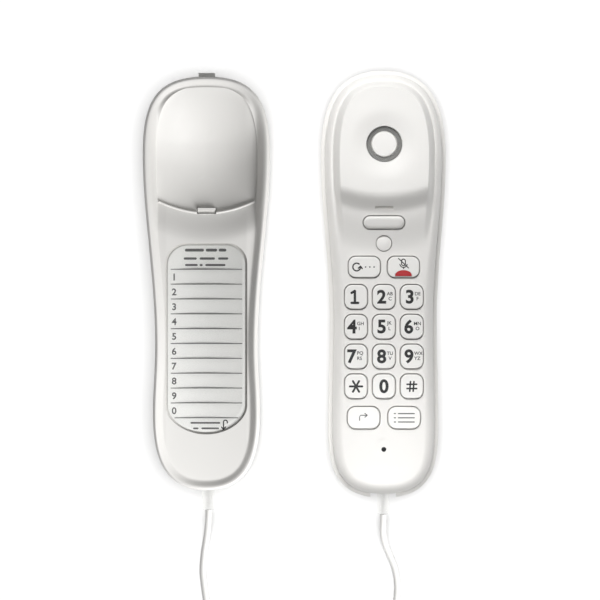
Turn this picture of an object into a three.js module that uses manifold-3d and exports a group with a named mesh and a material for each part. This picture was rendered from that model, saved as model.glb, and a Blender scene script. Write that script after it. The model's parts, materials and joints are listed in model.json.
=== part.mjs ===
// A corded slimline wall phone: a slim cradle and its keypad handset, lying face up side by side.
// Millimetres, +Z up, +Y towards the ear end. The origin is on the table, midway between the two units.
import * as THREE from "three";
import { mergeVertices } from "three/addons/utils/BufferGeometryUtils.js";
import Module from "manifold-3d";

const wasm = await Module();
wasm.setup();

// ---------------------------------------------------------------- driving dimensions

const GAP = 0.3; // between pieces that touch
const WALL = 2.2; // moulded shell thickness
const HALF_POINTS = 24; // steps down one side of a body outline
const WINDOW_POINTS = 16; // and down one side of the window's
const CUP_POINTS = 20; // and of the ear cup's
const POST_SIDES = 18;

// Seen from the front, each body is a rounded head, a waist and a rounded foot.
const CRADLE = {
  x: -46.2,
  top: 107.9,
  bottom: -108.1,
  head: { half: 33.1, y: 68, fullness: 0.77 },
  waist: { half: 26.6, y: -32.8 },
  foot: { half: 27.8, y: -68.5, fullness: 0.54 },
  spine: { low: -81, high: 75 },
};
const HANDSET = {
  x: 46.5,
  top: 111.7,
  bottom: -112.5,
  head: { half: 32.8, y: 66, fullness: 0.68 },
  waist: { half: 28.1, y: -19 },
  foot: { half: 28.9, y: -76, fullness: 0.62 },
  spine: { low: -82, high: 78 },
};

// Handset heights.
const PARTING_Z = 11; // where the back shell stops
const LIP = 2.2; // how far the front shell steps in from the back shell
const FACE_Z = 23; // keypad face, along the middle
const FACE_CROWN = 0.5; // fall of the face from the middle to the sides
const FACE_EDGE = { footWidth: 5.6, headWidth: 3.6, height: 8 };
const BACK_EDGE = { width: 14, height: 9 };
const BACK_LIFT = 1.5; // how far the back curves up towards both ends
const BUMP = { height: 12, half: 24.7, footInset: 6, topInset: 9.8 };
const EAR = { y: 72.2, dish: 2.6, dishRadius: 19, ringOuter: 9.1, ringInner: 7 };
const SLOPE_Y = 44.4; // lower edge of the ear bump, along the middle
const SLOPE_ARC = 4.7; // how far that edge climbs at the sides
const SLOPE_STEEP = 0.58; // share of the bump's height that falls off steeply

// Cradle heights.
const PLATE = { low: 1.5, high: 4, inset: 2.6 };
const RIM_Z = 24;
const TROUGH_Z = 19;
const TROUGH_CURVE = 1.3; // rise of the trough from the middle to the window's sides
const RIM_FALL = { crest: 1.4, foot: 5.2, headFoot: 6.6 };
const RIM_DROP = 2.4; // how much lower the rim is round the foot's end
const RIDGE = { y: 37.5, arc: 6.3, half: 25.6 }; // edge between the trough and the ear cup
const DIP = { depth: 5, length: 17, endLow: 62, endHigh: 98 }; // how it falls to the ridge and climbs back
const TOP_RISE = { height: 3.6, low: 72, high: 104 }; // and how it climbs on to the rim
const BEAD_RADIUS = 0.6; // along the ridge
const CUP = { top: 103, half: 26.5, middle: 62, step: 1.2, topStep: 0.2, bowl: 6 };
const TROUGH_FLOOR = 4.4; // thickness under the window pocket
const WINDOW = { top: 20.7, bottom: -78.7, half: 21.1, corner: 10.5, arch: 15, thickness: 1.1 };
const CARD_THICKNESS = 0.3;
const POCKET_DEPTH = WINDOW.thickness + CARD_THICKNESS + 3 * GAP;

// Keys.
const KEY = { bottom: 18.3, flangeTop: 19, flange: 0.6, top: 24.3, gap: 0.5 };
const DIGIT = { w: 11.8, h: 12.6, r: 3.8, pitchX: 14.55, pitchY: 15.55, firstY: -7.1 };
const WIDE_UPPER = { w: 16.5, h: 11.1, r: 3.8, x: 10.2, y: 8.5 };
const WIDE_LOWER = { w: 16.8, h: 11.6, r: 4.2, x: 10.6, y: -70.1 };
const MUTE_LENS = { halfWidth: 4.4, rise: 3.4, depth: 0.8 };

const PLUNGER = { y: 31.6, w: 21.4, h: 6.6, low: 21, flangeTop: 22.1, proud: 1.4 };
const HOOK_SLOT = { y: 39.3, w: 9.4, h: 1.7, floor: 27.6, padLow: 25.4 };
const SCREW_CAP = { y: 20.8, r: 4, thickness: 1.4 };
const MIC = { y: -86.7, hole: 1.3, capsule: 4.85, low: 14.9, high: 19.8, bootWall: 1.05 };
const RECEIVER = { r: 13, thickness: 7.5, gasketInner: 10, gasket: 1.4 };
const EARPIECE = { flange: 12.4, thickness: 1.4, holes: 8, holeRadius: 0.8, holeRing: 8.2 };
const HANDSET_SCREWS = [
  { name: "handset_screw_lower_left", x: -17, y: -86 },
  { name: "handset_screw_lower_right", x: 17, y: -86 },
];

const SCREW = { shank: 1.4, bore: 1.6, head: 2.6, sink: 2.9, headEdge: 0.8, headHeight: 1.4, slot: 0.25 };
const BOSS = 3.6;

const BOARD = { low: 14.1, high: 15.7, half: 22, top: 36, bottom: -78 };
const MEMBRANE = { low: 16, high: 17.2, half: 20.6, top: 15, bottom: -77.6 };
const HOOK_SPRING = { r: 2, wire: 0.25, turns: 2.5, low: 18.5 };

const HOOK = { half: 4.7, low: 9, high: 13.4, y0: 36.8, y1: 39.6, lipY: 38.2, lipHigh: 14.2 };
const SWITCH = { half: 4.35, travel: 3, inner: 104.6, outer: 110.5, low: 8.5, high: 11.5 };
const SWITCH_BODY = { half: 8, inner: 101.3, low: 5, high: 12.3 };
const LINE_JACK = { y: -19.5, w: 14, length: 13, high: 14, mouthW: 9.8, mouthLength: 8, mouthHigh: 12.6 };
const CRADLE_BOARD = { w: 38, h: 35, y: -46, low: 7, high: 8.6 };
const SOUNDER = { r: 11, high: 13.8 };
const BALLAST = { w: 36, h: 32, y: 5, high: 9.6 };
const FOOT_SPOTS = [
  [-20, 84],
  [20, 84],
  [-18, -84],
  [18, -84],
];
const FOOT_PAD = { r: 4.5, height: PLATE.low - GAP };
const PLATE_SCREWS = [
  [-17, 27],
  [17, 27],
  [0, -84],
];
const KEYHOLES = { y: [30, -69], head: 4.4, neck: 2.1, length: 8 };

const JACK = { w: 13, length: 12.6, h: 8.6, cavityW: 8.2, cavityH: 7.1, back: 1.4 };
const CORD_PLUG = { w: 7.6, length: 10.6, h: 6.5 };
const PLUG_SLEEVE = { w: 6.2, length: 14, h: 4.4 };
const CONTACT_PITCH = 1.27;
const CRADLE_JACK = { y: -104.8, z: 8.6 };
const HANDSET_JACK = { y: -107.2, z: 8.4 };

const CORD_RADIUS = 1.7;
const CURL_RADIUS = 5.5;
const CURL_Z = 5.6;
// The straight tail from the cradle, the curly part's centre line and the straight tail to the handset.
const CRADLE_TAIL = [
  [-45.4, -119.1, 8.6],
  [-45.4, -123, 8.2],
  [-45.9, -129, 5.6],
  [-46.8, -135.5, 3],
  [-48, -143, 1.8],
  [-48.6, -152, 1.8],
  [-47.4, -163, 1.8],
  [-46, -172, 1.8],
  [-45, -179.7, 1.8],
];
const CURL_AXIS = [
  [-45, -180],
  [-44, -187],
  [-39, -193.5],
  [-31, -196.5],
  [-18, -197],
  [-4, -197],
  [10, -197],
  [18.5, -200.5],
  [22, -208],
  [18.5, -215.5],
  [10, -219],
  [-4, -219],
  [-20, -219],
  [-34, -219],
  [-42.5, -222.5],
  [-46, -230],
  [-42.5, -237.5],
  [-34, -241],
  [-18, -241],
  [0, -241],
  [18, -241],
  [34, -240],
  [45, -235],
  [51, -225],
  [52.5, -212],
  [52.5, -198],
  [52, -186],
  [52, -178],
];
const HANDSET_TAIL = [
  [52, -177.7, 1.8],
  [53.4, -170, 1.8],
  [54.2, -160, 1.8],
  [53, -151, 1.8],
  [50.2, -143.5, 2],
  [47.6, -137, 3.4],
  [46.5, -131, 6],
  [46.5, -126, 7.9],
  [46.5, -121.5, 8.4],
];

// ---------------------------------------------------------------- materials

function plastic(color, roughness = 0.35) {
  return new THREE.MeshStandardMaterial({ color, roughness, metalness: 0 });
}

function metal(color, roughness = 0.4) {
  return new THREE.MeshStandardMaterial({ color, roughness, metalness: 1 });
}

const WHITE = plastic(0xf1f0ed);
const KEY_WHITE = plastic(0xf6f6f4, 0.3);
const GREY = plastic(0xc9cac8);
const DARK_GREY = plastic(0x6f706f, 0.6);
const BLACK = plastic(0x1d1d1f, 0.6);
const RED = plastic(0xbe3c41, 0.25);
const PAPER = plastic(0xfbfaf7, 0.8);
const CLEAR = plastic(0xffffff, 0.08);
CLEAR.transparent = true;
CLEAR.opacity = 0.3;
const RUBBER = plastic(0x3a3a3c, 0.85);
const SILICONE = plastic(0xd8d9d4, 0.7);
const BOARD_GREEN = plastic(0x2c6b45, 0.5);
const STEEL = metal(0xa9abad);
const TIN = metal(0xc8c8c4, 0.3);

// ---------------------------------------------------------------- geometry helpers

const clamp = THREE.MathUtils.clamp;
const smooth = THREE.MathUtils.smoothstep;
const lerp = THREE.MathUtils.lerp;

// Closes a half outline, given from its top to its bottom on the +X side, into a counter-clockwise ring.
function mirrored(half) {
  const right = [...half].reverse();
  const left = half.slice(1, -1).map((p) => new THREE.Vector2(-p.x, p.y));
  return [...right, ...left];
}

// Adds a curve to a path, from its two handles and its end.
function curve(path, [x1, y1], [x2, y2], [x, y]) {
  path.bezierCurveTo(x1, y1, x2, y2, x, y);
}

// The ring of points round a body, seen from the front.
function bodyOutline({ top, bottom, head, waist, foot }) {
  const toTop = top - head.y;
  const toWaist = head.y - waist.y;
  const toFoot = waist.y - foot.y;
  const toBottom = foot.y - bottom;
  const headPoint = [head.half, head.y];
  const waistPoint = [waist.half, waist.y];
  const footPoint = [foot.half, foot.y];
  const path = new THREE.Path();
  path.moveTo(0, top);
  curve(path, [head.fullness * head.half, top], [head.half, head.y + 0.7 * toTop], headPoint);
  curve(path, [head.half, head.y - 0.33 * toWaist], [waist.half, waist.y + 0.37 * toWaist], waistPoint);
  curve(path, [waist.half, waist.y - 0.37 * toFoot], [foot.half, foot.y + 0.37 * toFoot], footPoint);
  curve(path, [foot.half, foot.y - foot.fullness * toBottom], [0.83 * foot.half, bottom], [0, bottom]);
  return mirrored(path.getSpacedPoints(HALF_POINTS));
}

// The ring of points round the dial-list window: square shoulders with round corners above, an arch below.
function windowOutline(margin) {
  const half = WINDOW.half + margin;
  const top = WINDOW.top + margin;
  const bottom = WINDOW.bottom - margin;
  const archTop = WINDOW.bottom + WINDOW.arch;
  const path = new THREE.Path();
  path.moveTo(0, top);
  path.lineTo(half - WINDOW.corner, top);
  path.absarc(half - WINDOW.corner, top - WINDOW.corner, WINDOW.corner, Math.PI / 2, 0, true);
  path.lineTo(half, archTop);
  curve(path, [half, archTop - 0.5 * WINDOW.arch], [0.55 * half, bottom], [0, bottom]);
  return mirrored(path.getSpacedPoints(WINDOW_POINTS));
}

// A ring of points round a rectangle with round corners, centred on the origin.
function roundedOutline(w, h, r, cornerSteps = 2) {
  const centres = [
    [w / 2 - r, h / 2 - r],
    [r - w / 2, h / 2 - r],
    [r - w / 2, r - h / 2],
    [w / 2 - r, r - h / 2],
  ];
  return centres.flatMap(([cx, cy], corner) =>
    Array.from({ length: cornerSteps + 1 }, (_, step) => {
      const angle = (corner + step / cornerSteps) * (Math.PI / 2);
      return new THREE.Vector2(cx + r * Math.cos(angle), cy + r * Math.sin(angle));
    }),
  );
}

// Skins a closed body through rings that are insets of one outline, from the underside round to the top.
// Each ring is [inset, height], where height is a number or a function of x, y and the inset.
// The first and last rings close onto the spine, the stretch of the Y axis that the insets shrink to.
function loft(outline, spine, rings) {
  const anchors = outline.map((p) => new THREE.Vector2(0, clamp(p.y, spine.low, spine.high)));
  const layer = (inset, height) =>
    outline.map((p, i) => {
      const reach = p.distanceTo(anchors[i]);
      const depth = Math.min(inset, reach);
      const { x, y } = anchors[i].clone().lerp(p, 1 - depth / reach);
      return new THREE.Vector3(x, y, typeof height === "function" ? height(x, y, depth) : height);
    });
  const [, firstHeight] = rings[0];
  const [, lastHeight] = rings.at(-1);
  const layers = [
    layer(Infinity, firstHeight),
    ...rings.map(([inset, height]) => layer(inset, height)),
    layer(Infinity, lastHeight),
  ];
  const corners = [];
  const face = (a, b, c) => {
    if (a.equals(b) || b.equals(c) || c.equals(a)) return;
    corners.push(a, b, c);
  };
  for (let k = 0; k + 1 < layers.length; k++)
    for (let i = 0; i < outline.length; i++) {
      const j = (i + 1) % outline.length;
      face(layers[k][i], layers[k][j], layers[k + 1][j]);
      face(layers[k][i], layers[k + 1][j], layers[k + 1][i]);
    }
  return new THREE.BufferGeometry().setFromPoints(corners);
}

const POINT = { low: 0, high: 0 };
const DEEP = 30; // an inset past every edge, for heights along the middle

function box(x0, x1, y0, y1, z0, z1) {
  const geometry = new THREE.BoxGeometry(x1 - x0, y1 - y0, z1 - z0);
  return geometry.translate((x0 + x1) / 2, (y0 + y1) / 2, (z0 + z1) / 2);
}

function post(r, x, y, z0, z1, sides = POST_SIDES) {
  const geometry = new THREE.CylinderGeometry(r, r, z1 - z0, sides);
  return geometry.rotateX(Math.PI / 2).translate(x, y, (z0 + z1) / 2);
}

function block(outline, z0, z1, x = 0, y = 0) {
  const shape = new THREE.Shape(outline);
  const geometry = new THREE.ExtrudeGeometry(shape, { depth: z1 - z0, bevelEnabled: false });
  return geometry.translate(x, y, z0);
}

// A body turned about the vertical through (x, y), from a closed profile of [radius, height] points.
function turned(profile, x, y, sides = POST_SIDES) {
  const points = profile.map(([r, z]) => new THREE.Vector2(r, z));
  return new THREE.LatheGeometry(points, sides).rotateX(Math.PI / 2).translate(x, y, 0);
}

function ring(outer, inner, x, y, z0, z1, sides) {
  const profile = [
    [inner, z0],
    [outer, z0],
    [outer, z1],
    [inner, z1],
    [inner, z0],
  ];
  return turned(profile, x, y, sides);
}

function tube(points, radius, steps) {
  const path = new THREE.CatmullRomCurve3(points.map((p) => new THREE.Vector3(...p)));
  path.curveType = "catmullrom";
  const section = new THREE.Shape().absarc(0, 0, radius, 0, 2 * Math.PI);
  return new THREE.ExtrudeGeometry(section, { extrudePath: path, steps, curveSegments: 4 });
}

// A geometry as a solid that can be cut and joined.
function solid(geometry) {
  const loose = geometry.index ? geometry.toNonIndexed() : geometry;
  const bare = new THREE.BufferGeometry().setAttribute("position", loose.getAttribute("position"));
  const merged = mergeVertices(bare, 1e-4);
  return new wasm.Manifold(
    new wasm.Mesh({
      numProp: 3,
      vertProperties: new Float32Array(merged.getAttribute("position").array),
      triVerts: new Uint32Array(merged.index.array),
    }),
  );
}

function geometryOf(body) {
  const { vertProperties, triVerts } = body.getMesh();
  const geometry = new THREE.BufferGeometry();
  geometry.setAttribute("position", new THREE.BufferAttribute(vertProperties, 3));
  geometry.setIndex(new THREE.BufferAttribute(triVerts, 1));
  geometry.computeVertexNormals();
  return geometry;
}

const joined = (body, pieces) => pieces.reduce((sum, piece) => sum.add(solid(piece)), body);
const common = (body, piece) => body.intersect(solid(piece));
const cut = (body, pieces) => pieces.reduce((rest, piece) => rest.subtract(solid(piece)), body);

const phone = new THREE.Group();
const cradle = new THREE.Group();
const handset = new THREE.Group();
cradle.position.x = CRADLE.x;
handset.position.x = HANDSET.x;
phone.add(cradle, handset);

function add(group, name, shape, material) {
  const geometry = shape.isBufferGeometry ? shape : geometryOf(shape);
  const mesh = new THREE.Mesh(geometry, material);
  mesh.name = name;
  group.add(mesh);
}

// ---------------------------------------------------------------- surfaces

// Share of the bump's full height at a distance u up the handset from its lower edge:
// a steep fall just below the edge, then a long gentle one.
function bumpShare(u) {
  return SLOPE_STEEP * smooth(u, -8.5, 2.5) + (1 - SLOPE_STEEP) * smooth(u, -29, -5);
}

// Drop of a rounded edge, a quarter ellipse, at a distance d in from it.
function edgeDrop(d, width, height) {
  const out = 1 - clamp(d / width, 0, 1);
  return height * (1 - Math.sqrt(1 - out * out));
}

// Height of the handset's front at (x, y), d in from the outline.
function handsetFront(x, y, d) {
  const edgeWidth = lerp(FACE_EDGE.footWidth, FACE_EDGE.headWidth, smooth(y, -20, 50));
  const crown = FACE_CROWN * (x / HANDSET.waist.half) ** 2;
  const face = FACE_Z - crown - edgeDrop(d - LIP, edgeWidth, FACE_EDGE.height);
  const u = y - SLOPE_Y - SLOPE_ARC * (x / BUMP.half) ** 2;
  const bump = BUMP.height * smooth(d, BUMP.footInset, BUMP.topInset) * bumpShare(u);
  const reach = Math.min(Math.hypot(x, y - EAR.y) / EAR.dishRadius, 1);
  return face + bump - EAR.dish * (1 - reach ** 2) ** 2;
}

function handsetBack(x, y, d) {
  return edgeDrop(d, BACK_EDGE.width, BACK_EDGE.height) + BACK_LIFT * smooth(Math.abs(y), 60, HANDSET.top);
}

function troughHeight(x) {
  const across = clamp(x / WINDOW.half, -1, 1);
  return TROUGH_Z + TROUGH_CURVE * across ** 2;
}

const ridgeY = (x) => RIDGE.y + RIDGE.arc * (x / RIDGE.half) ** 2;

// Height of the trough at (x, y), which dips towards the ridge and climbs on to the rim at the top.
function troughSurface(x, y) {
  const fall = smooth(y - ridgeY(x), -DIP.length, 2) * (1 - smooth(y, DIP.endLow, DIP.endHigh));
  return troughHeight(x) - DIP.depth * fall + TOP_RISE.height * smooth(y, TOP_RISE.low, TOP_RISE.high);
}

// Height of the cradle's front at (x, y), d in from the outline, before the ear cup is cut.
function cradleFront(x, y, d) {
  const foot = lerp(RIM_FALL.foot, RIM_FALL.headFoot, smooth(y, 20, 45));
  const trough = lerp(troughHeight(x), troughSurface(x, y), smooth(d, 3, foot));
  const rim = RIM_Z - RIM_DROP * smooth(-y, 70, 104);
  return lerp(rim, trough, smooth(d, RIM_FALL.crest, foot)) - 1.6 * (1 - smooth(d, 0, 1.2));
}

// Height of the ear cup's floor at (x, y): a small step down from the trough and then a bowl.
function cupFloor(x, y) {
  const step = lerp(CUP.step, CUP.topStep, smooth(y, DIP.endLow, CUP.top));
  const across = clamp(Math.abs(x) / CUP.half, 0, 1);
  const up = clamp((y - CUP.middle) / (CUP.top - CUP.middle), 0, 1);
  const down = clamp((CUP.middle - y) / (CUP.middle - ridgeY(x)), 0, 1);
  const bowl = CUP.bowl * (1 - across ** 2) * (1 - up ** 4) * (1 - down ** 2);
  return troughSurface(x, y) - step - bowl;
}

// ---------------------------------------------------------------- keys

// Every key: name, centre, outline size. The digit keys fill a grid of three columns and four rows.
const DIGIT_NAMES = ["1", "2", "3", "4", "5", "6", "7", "8", "9", "star", "0", "hash"];
const KEYS = [
  { name: "key_redial", x: -WIDE_UPPER.x, y: WIDE_UPPER.y, size: WIDE_UPPER },
  { name: "key_mute", x: WIDE_UPPER.x, y: WIDE_UPPER.y, size: WIDE_UPPER },
  ...DIGIT_NAMES.map((label, i) => ({
    name: "key_" + label,
    x: ((i % 3) - 1) * DIGIT.pitchX,
    y: DIGIT.firstY - Math.floor(i / 3) * DIGIT.pitchY,
    size: DIGIT,
  })),
  { name: "key_recall", x: -WIDE_LOWER.x, y: WIDE_LOWER.y, size: WIDE_LOWER },
  { name: "key_quick_dial", x: WIDE_LOWER.x, y: WIDE_LOWER.y, size: WIDE_LOWER },
];

function keyShape({ x, y, size }) {
  const rings = [
    [-KEY.flange, KEY.bottom],
    [-KEY.flange, KEY.flangeTop],
    [0, KEY.flangeTop],
    [0, KEY.top - 0.7],
    [0.6, KEY.top],
  ];
  return loft(roundedOutline(size.w, size.h, size.r), POINT, rings).translate(x, y, 0);
}

// The block that the mute lens is cut from: a half ellipse that stands on the key's lower edge.
function lensBlock(key, margin, low) {
  const half = MUTE_LENS.halfWidth + margin;
  const shape = new THREE.Path();
  shape.absellipse(0, 0, half, MUTE_LENS.rise + margin, 0, Math.PI, false);
  const outline = [...shape.getPoints(8), new THREE.Vector2(-half, -2), new THREE.Vector2(half, -2)];
  return block(outline, low, KEY.top + 1, key.x, key.y - key.size.h / 2);
}

function addKeys() {
  for (const key of KEYS) {
    const body = solid(keyShape(key));
    if (key.name !== "key_mute") {
      add(handset, key.name, body, KEY_WHITE);
      continue;
    }
    const lensLow = KEY.top - MUTE_LENS.depth;
    add(handset, key.name, cut(body, [lensBlock(key, GAP / 2, lensLow - GAP)]), KEY_WHITE);
    add(handset, "mute_lens", common(body, lensBlock(key, -GAP / 2, lensLow)), RED);
  }
}

// ---------------------------------------------------------------- handset

const handsetRing = bodyOutline(HANDSET);
const BOSS_LOW = PARTING_Z + 3;
const CAP_SEAT = 18.6;

function handsetFrontShell() {
  const insets = [0.4, 1.1, 2.2, 3.6, 4.7, 6.1, 7.6, 11, 17].map((d) => LIP + d);
  const outer = loft(handsetRing, HANDSET.spine, [
    [LIP, PARTING_Z + GAP],
    [LIP, handsetFront],
    ...insets.map((d) => [d, handsetFront]),
  ]);
  const under = (x, y, d) => handsetFront(x, y, d - WALL) - WALL;
  const hollow = loft(handsetRing, HANDSET.spine, [
    [LIP + WALL, PARTING_Z - 1],
    [LIP + WALL, under],
    ...[1.4, 2.8, 4, 5.4, 7.6, 13].map((d) => [LIP + d + WALL, under]),
  ]);
  const high = FACE_Z + BUMP.height + 5;
  const bosses = [
    post(SCREW_CAP.r + 1.4, 0, SCREW_CAP.y, BOSS_LOW, FACE_Z - 0.5, 20),
    ...HANDSET_SCREWS.map(({ x, y }) => post(BOSS, x, y, BOSS_LOW, FACE_Z - 2, 16)),
  ];
  const slot = (margin, low) => {
    const x = HOOK_SLOT.w / 2 + margin;
    const y = HOOK_SLOT.h / 2 + margin;
    return box(-x, x, HOOK_SLOT.y - y, HOOK_SLOT.y + y, low, high);
  };
  const holeIn = ({ x, y, w, h, r, steps }) => {
    const outline = roundedOutline(w + 2 * KEY.gap, h + 2 * KEY.gap, r + KEY.gap, steps);
    return block(outline, PARTING_Z, high, x, y);
  };
  const openings = [
    ...KEYS.map(({ x, y, size }) => holeIn({ ...size, x, y })),
    holeIn({ ...PLUNGER, x: 0, r: PLUNGER.h / 2, steps: 6 }),
    post(EAR.ringOuter + GAP, 0, EAR.y, PARTING_Z, high, 32),
    slot(0, HOOK_SLOT.floor),
    post(MIC.hole, 0, MIC.y, PARTING_Z, high, 12),
    post(SCREW_CAP.r + GAP, 0, SCREW_CAP.y, CAP_SEAT, high, 24),
    post(SCREW.bore + 0.2, 0, SCREW_CAP.y, PARTING_Z, high, 10),
    ...HANDSET_SCREWS.map(({ x, y }) => post(SCREW.bore, x, y, PARTING_Z, 18, 10)),
  ];
  const body = solid(outer);
  const shell = joined(cut(body, [hollow]), bosses).add(common(body, slot(1.5, HOOK_SLOT.padLow)));
  return cut(shell, openings);
}

function handsetBackShell() {
  const outer = loft(handsetRing, HANDSET.spine, [
    ...[14, 9, 5.5, 2.8, 1, 0].map((d) => [d, handsetBack]),
    [0, PARTING_Z],
  ]);
  const floor = (x, y, d) => handsetBack(x, y, d - WALL) + WALL;
  const hollow = loft(handsetRing, HANDSET.spine, [
    ...[16, 10, 6, 3.4, WALL].map((d) => [d, floor]),
    [WALL, PARTING_Z + 1],
  ]);
  const spots = [{ x: 0, y: SCREW_CAP.y }, ...HANDSET_SCREWS];
  const posts = spots.map(({ x, y }) => post(BOSS, x, y, 1.8, BOSS_LOW - 0.4, 16));
  const mouthHalf = JACK.w / 2 + GAP;
  const mouthLow = HANDSET_JACK.z - JACK.h / 2 - GAP;
  const mouthEnd = HANDSET_JACK.y + JACK.length + 0.6;
  const mouth = box(-mouthHalf, mouthHalf, HANDSET.bottom - 1, mouthEnd, mouthLow, 20);
  const bores = spots.map(({ x, y }) => post(SCREW.bore, x, y, 4, 20, 10));
  const counterbores = HANDSET_SCREWS.map(({ x, y }) => post(SCREW.sink, x, y, -1, 4.6, 14));
  return cut(joined(cut(solid(outer), [hollow]), posts), [mouth, ...bores, ...counterbores]);
}

// A pan-head screw whose head's outer face is at headZ. Its head is up if direction is 1, down if it is -1.
function screw(x, y, headZ, length, direction) {
  const top = length + SCREW.headHeight;
  const profile = [
    [0, 0],
    [SCREW.shank, 0],
    [SCREW.shank, length],
    [SCREW.head, length],
    [SCREW.head, length + SCREW.headEdge],
    [SCREW.head - 0.8, top],
    [0, top],
  ];
  const reach = SCREW.head - 1.1;
  const slots = [
    box(-reach, reach, -SCREW.slot, SCREW.slot, top - 0.5, top + 1),
    box(-SCREW.slot, SCREW.slot, -reach, reach, top - 0.5, top + 1),
  ];
  const geometry = geometryOf(cut(solid(turned(profile, 0, 0, 10)), slots));
  if (direction < 0) geometry.rotateX(Math.PI);
  return geometry.translate(x, y, headZ - direction * top);
}

function earpieceCap() {
  const top = handsetFront(0, EAR.y, DEEP);
  const under = top - WALL - GAP;
  const profile = [
    [0, under - EARPIECE.thickness],
    [EARPIECE.flange, under - EARPIECE.thickness],
    [EARPIECE.flange, under],
    [EAR.ringInner - GAP, under],
    [EAR.ringInner - GAP, top + 0.1],
    [EAR.ringInner - 0.8, top + 0.4],
    [EAR.ringInner / 2, top + 0.1],
    [0, top],
  ];
  const holes = Array.from({ length: EARPIECE.holes }, (_, i) => {
    const angle = (i / EARPIECE.holes) * 2 * Math.PI;
    const x = EARPIECE.holeRing * Math.cos(angle);
    const y = EAR.y + EARPIECE.holeRing * Math.sin(angle);
    return post(EARPIECE.holeRadius, x, y, under - 3, under + 1, 6);
  });
  return cut(solid(turned(profile, 0, EAR.y, 32)), holes);
}

// The plunger, lofted along the Y axis and then turned to lie along the X axis.
function hookPlunger() {
  const outline = roundedOutline(PLUNGER.h, PLUNGER.w, PLUNGER.h / 2, 6);
  const reach = (PLUNGER.w - PLUNGER.h) / 2;
  const edge = { width: 1.8, height: 1.2 };
  const face = (x, y) => handsetFront(y, PLUNGER.y - x, DEEP) + PLUNGER.proud;
  const top = (x, y, d) => face(x, y) - edgeDrop(d, edge.width, edge.height);
  const rings = [
    [-1, PLUNGER.low],
    [-1, PLUNGER.flangeTop],
    [0, PLUNGER.flangeTop],
    [0, top],
    [0.6, top],
    [edge.width, top],
  ];
  const lengthwise = loft(outline, { low: -reach, high: reach }, rings);
  return lengthwise.rotateZ(-Math.PI / 2).translate(0, PLUNGER.y, 0);
}

function hookSpring() {
  const { r, wire, turns, low } = HOOK_SPRING;
  const rise = PLUNGER.low - GAP - low - 2 * wire;
  const steps = 20;
  const points = Array.from({ length: steps + 1 }, (_, i) => {
    const angle = (i / steps) * turns * 2 * Math.PI;
    return [r * Math.cos(angle), PLUNGER.y + r * Math.sin(angle), low + wire + (i / steps) * rise];
  });
  return tube(points, wire, steps);
}

// A box w wide and h high, centred on x and z, that runs from y0 to y1.
function bar(w, h, x, z, y0, y1) {
  return box(x - w / 2, x + w / 2, y0, y1, z - h / 2, z + h / 2);
}

function modularJack(x, y, z) {
  const body = solid(bar(JACK.w, JACK.h, x, z, y, y + JACK.length));
  return cut(body, [bar(JACK.cavityW, JACK.cavityH, x, z, y - 1, y + JACK.length - JACK.back)]);
}

// A modular plug, with the sleeve that holds its cord standing out of the shell.
function cordPlug(x, y, z) {
  const end = y + CORD_PLUG.length;
  const sleeve = bar(PLUG_SLEEVE.w, PLUG_SLEEVE.h, x, z, y - PLUG_SLEEVE.length, y + 1);
  const body = joined(solid(bar(CORD_PLUG.w, CORD_PLUG.h, x, z, y, end)), [sleeve]);
  const grooves = [-1.5, -0.5, 0.5, 1.5].map((step) =>
    bar(0.5, 3, x + step * CONTACT_PITCH, z - CORD_PLUG.h / 2, end - 3, end + 1),
  );
  return cut(body, grooves);
}

function addEarpiece() {
  const earTop = handsetFront(0, EAR.y, DEEP);
  const gasketTop = earTop - WALL - EARPIECE.thickness - 2 * GAP;
  const gasketLow = gasketTop - RECEIVER.gasket;
  const capsuleTop = gasketLow - GAP;
  const meshRing = ring(EAR.ringOuter, EAR.ringInner, 0, EAR.y, earTop - WALL, earTop - 1, 32);
  const gasket = ring(RECEIVER.r, RECEIVER.gasketInner, 0, EAR.y, gasketLow, gasketTop, 24);
  const capsule = post(RECEIVER.r, 0, EAR.y, capsuleTop - RECEIVER.thickness, capsuleTop, 24);
  add(handset, "earpiece_cap", earpieceCap(), WHITE);
  add(handset, "earpiece_mesh_ring", meshRing, DARK_GREY);
  add(handset, "receiver_gasket", gasket, BLACK);
  add(handset, "receiver_capsule", capsule, TIN);
}

// A flat sheet with round corners, along the middle of the handset.
function sheet({ half, top, bottom, low, high }) {
  return block(roundedOutline(2 * half, top - bottom, 3), low, high, 0, (top + bottom) / 2);
}

function addBoards() {
  const bossHole = post(SCREW_CAP.r + 1.9, 0, SCREW_CAP.y, BOARD.low - 1, BOARD.high + 1);
  add(handset, "handset_board", cut(solid(sheet(BOARD)), [bossHole]), BOARD_GREEN);
  add(handset, "keypad_membrane", sheet(MEMBRANE), SILICONE);
}

function addHookSwitch() {
  const body = box(-5, 5, PLUNGER.y - 3, PLUNGER.y + 3, BOARD.high + GAP, HOOK_SPRING.low - GAP);
  add(handset, "hook_switch_plunger", hookPlunger(), WHITE);
  add(handset, "hook_switch_body", body, BLACK);
  add(handset, "hook_switch_spring", hookSpring(), STEEL);
}

function addMicrophone() {
  const bore = MIC.capsule + GAP;
  const boot = bore + MIC.bootWall;
  const profile = [
    [0, MIC.low - 1.5],
    [boot, MIC.low - 1.5],
    [boot, MIC.high + 0.4],
    [bore, MIC.high + 0.4],
    [bore, MIC.low - GAP],
    [0, MIC.low - GAP],
  ];
  add(handset, "microphone_boot", turned(profile, 0, MIC.y), RUBBER);
  add(handset, "microphone_capsule", post(MIC.capsule, 0, MIC.y, MIC.low, MIC.high), TIN);
}

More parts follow.
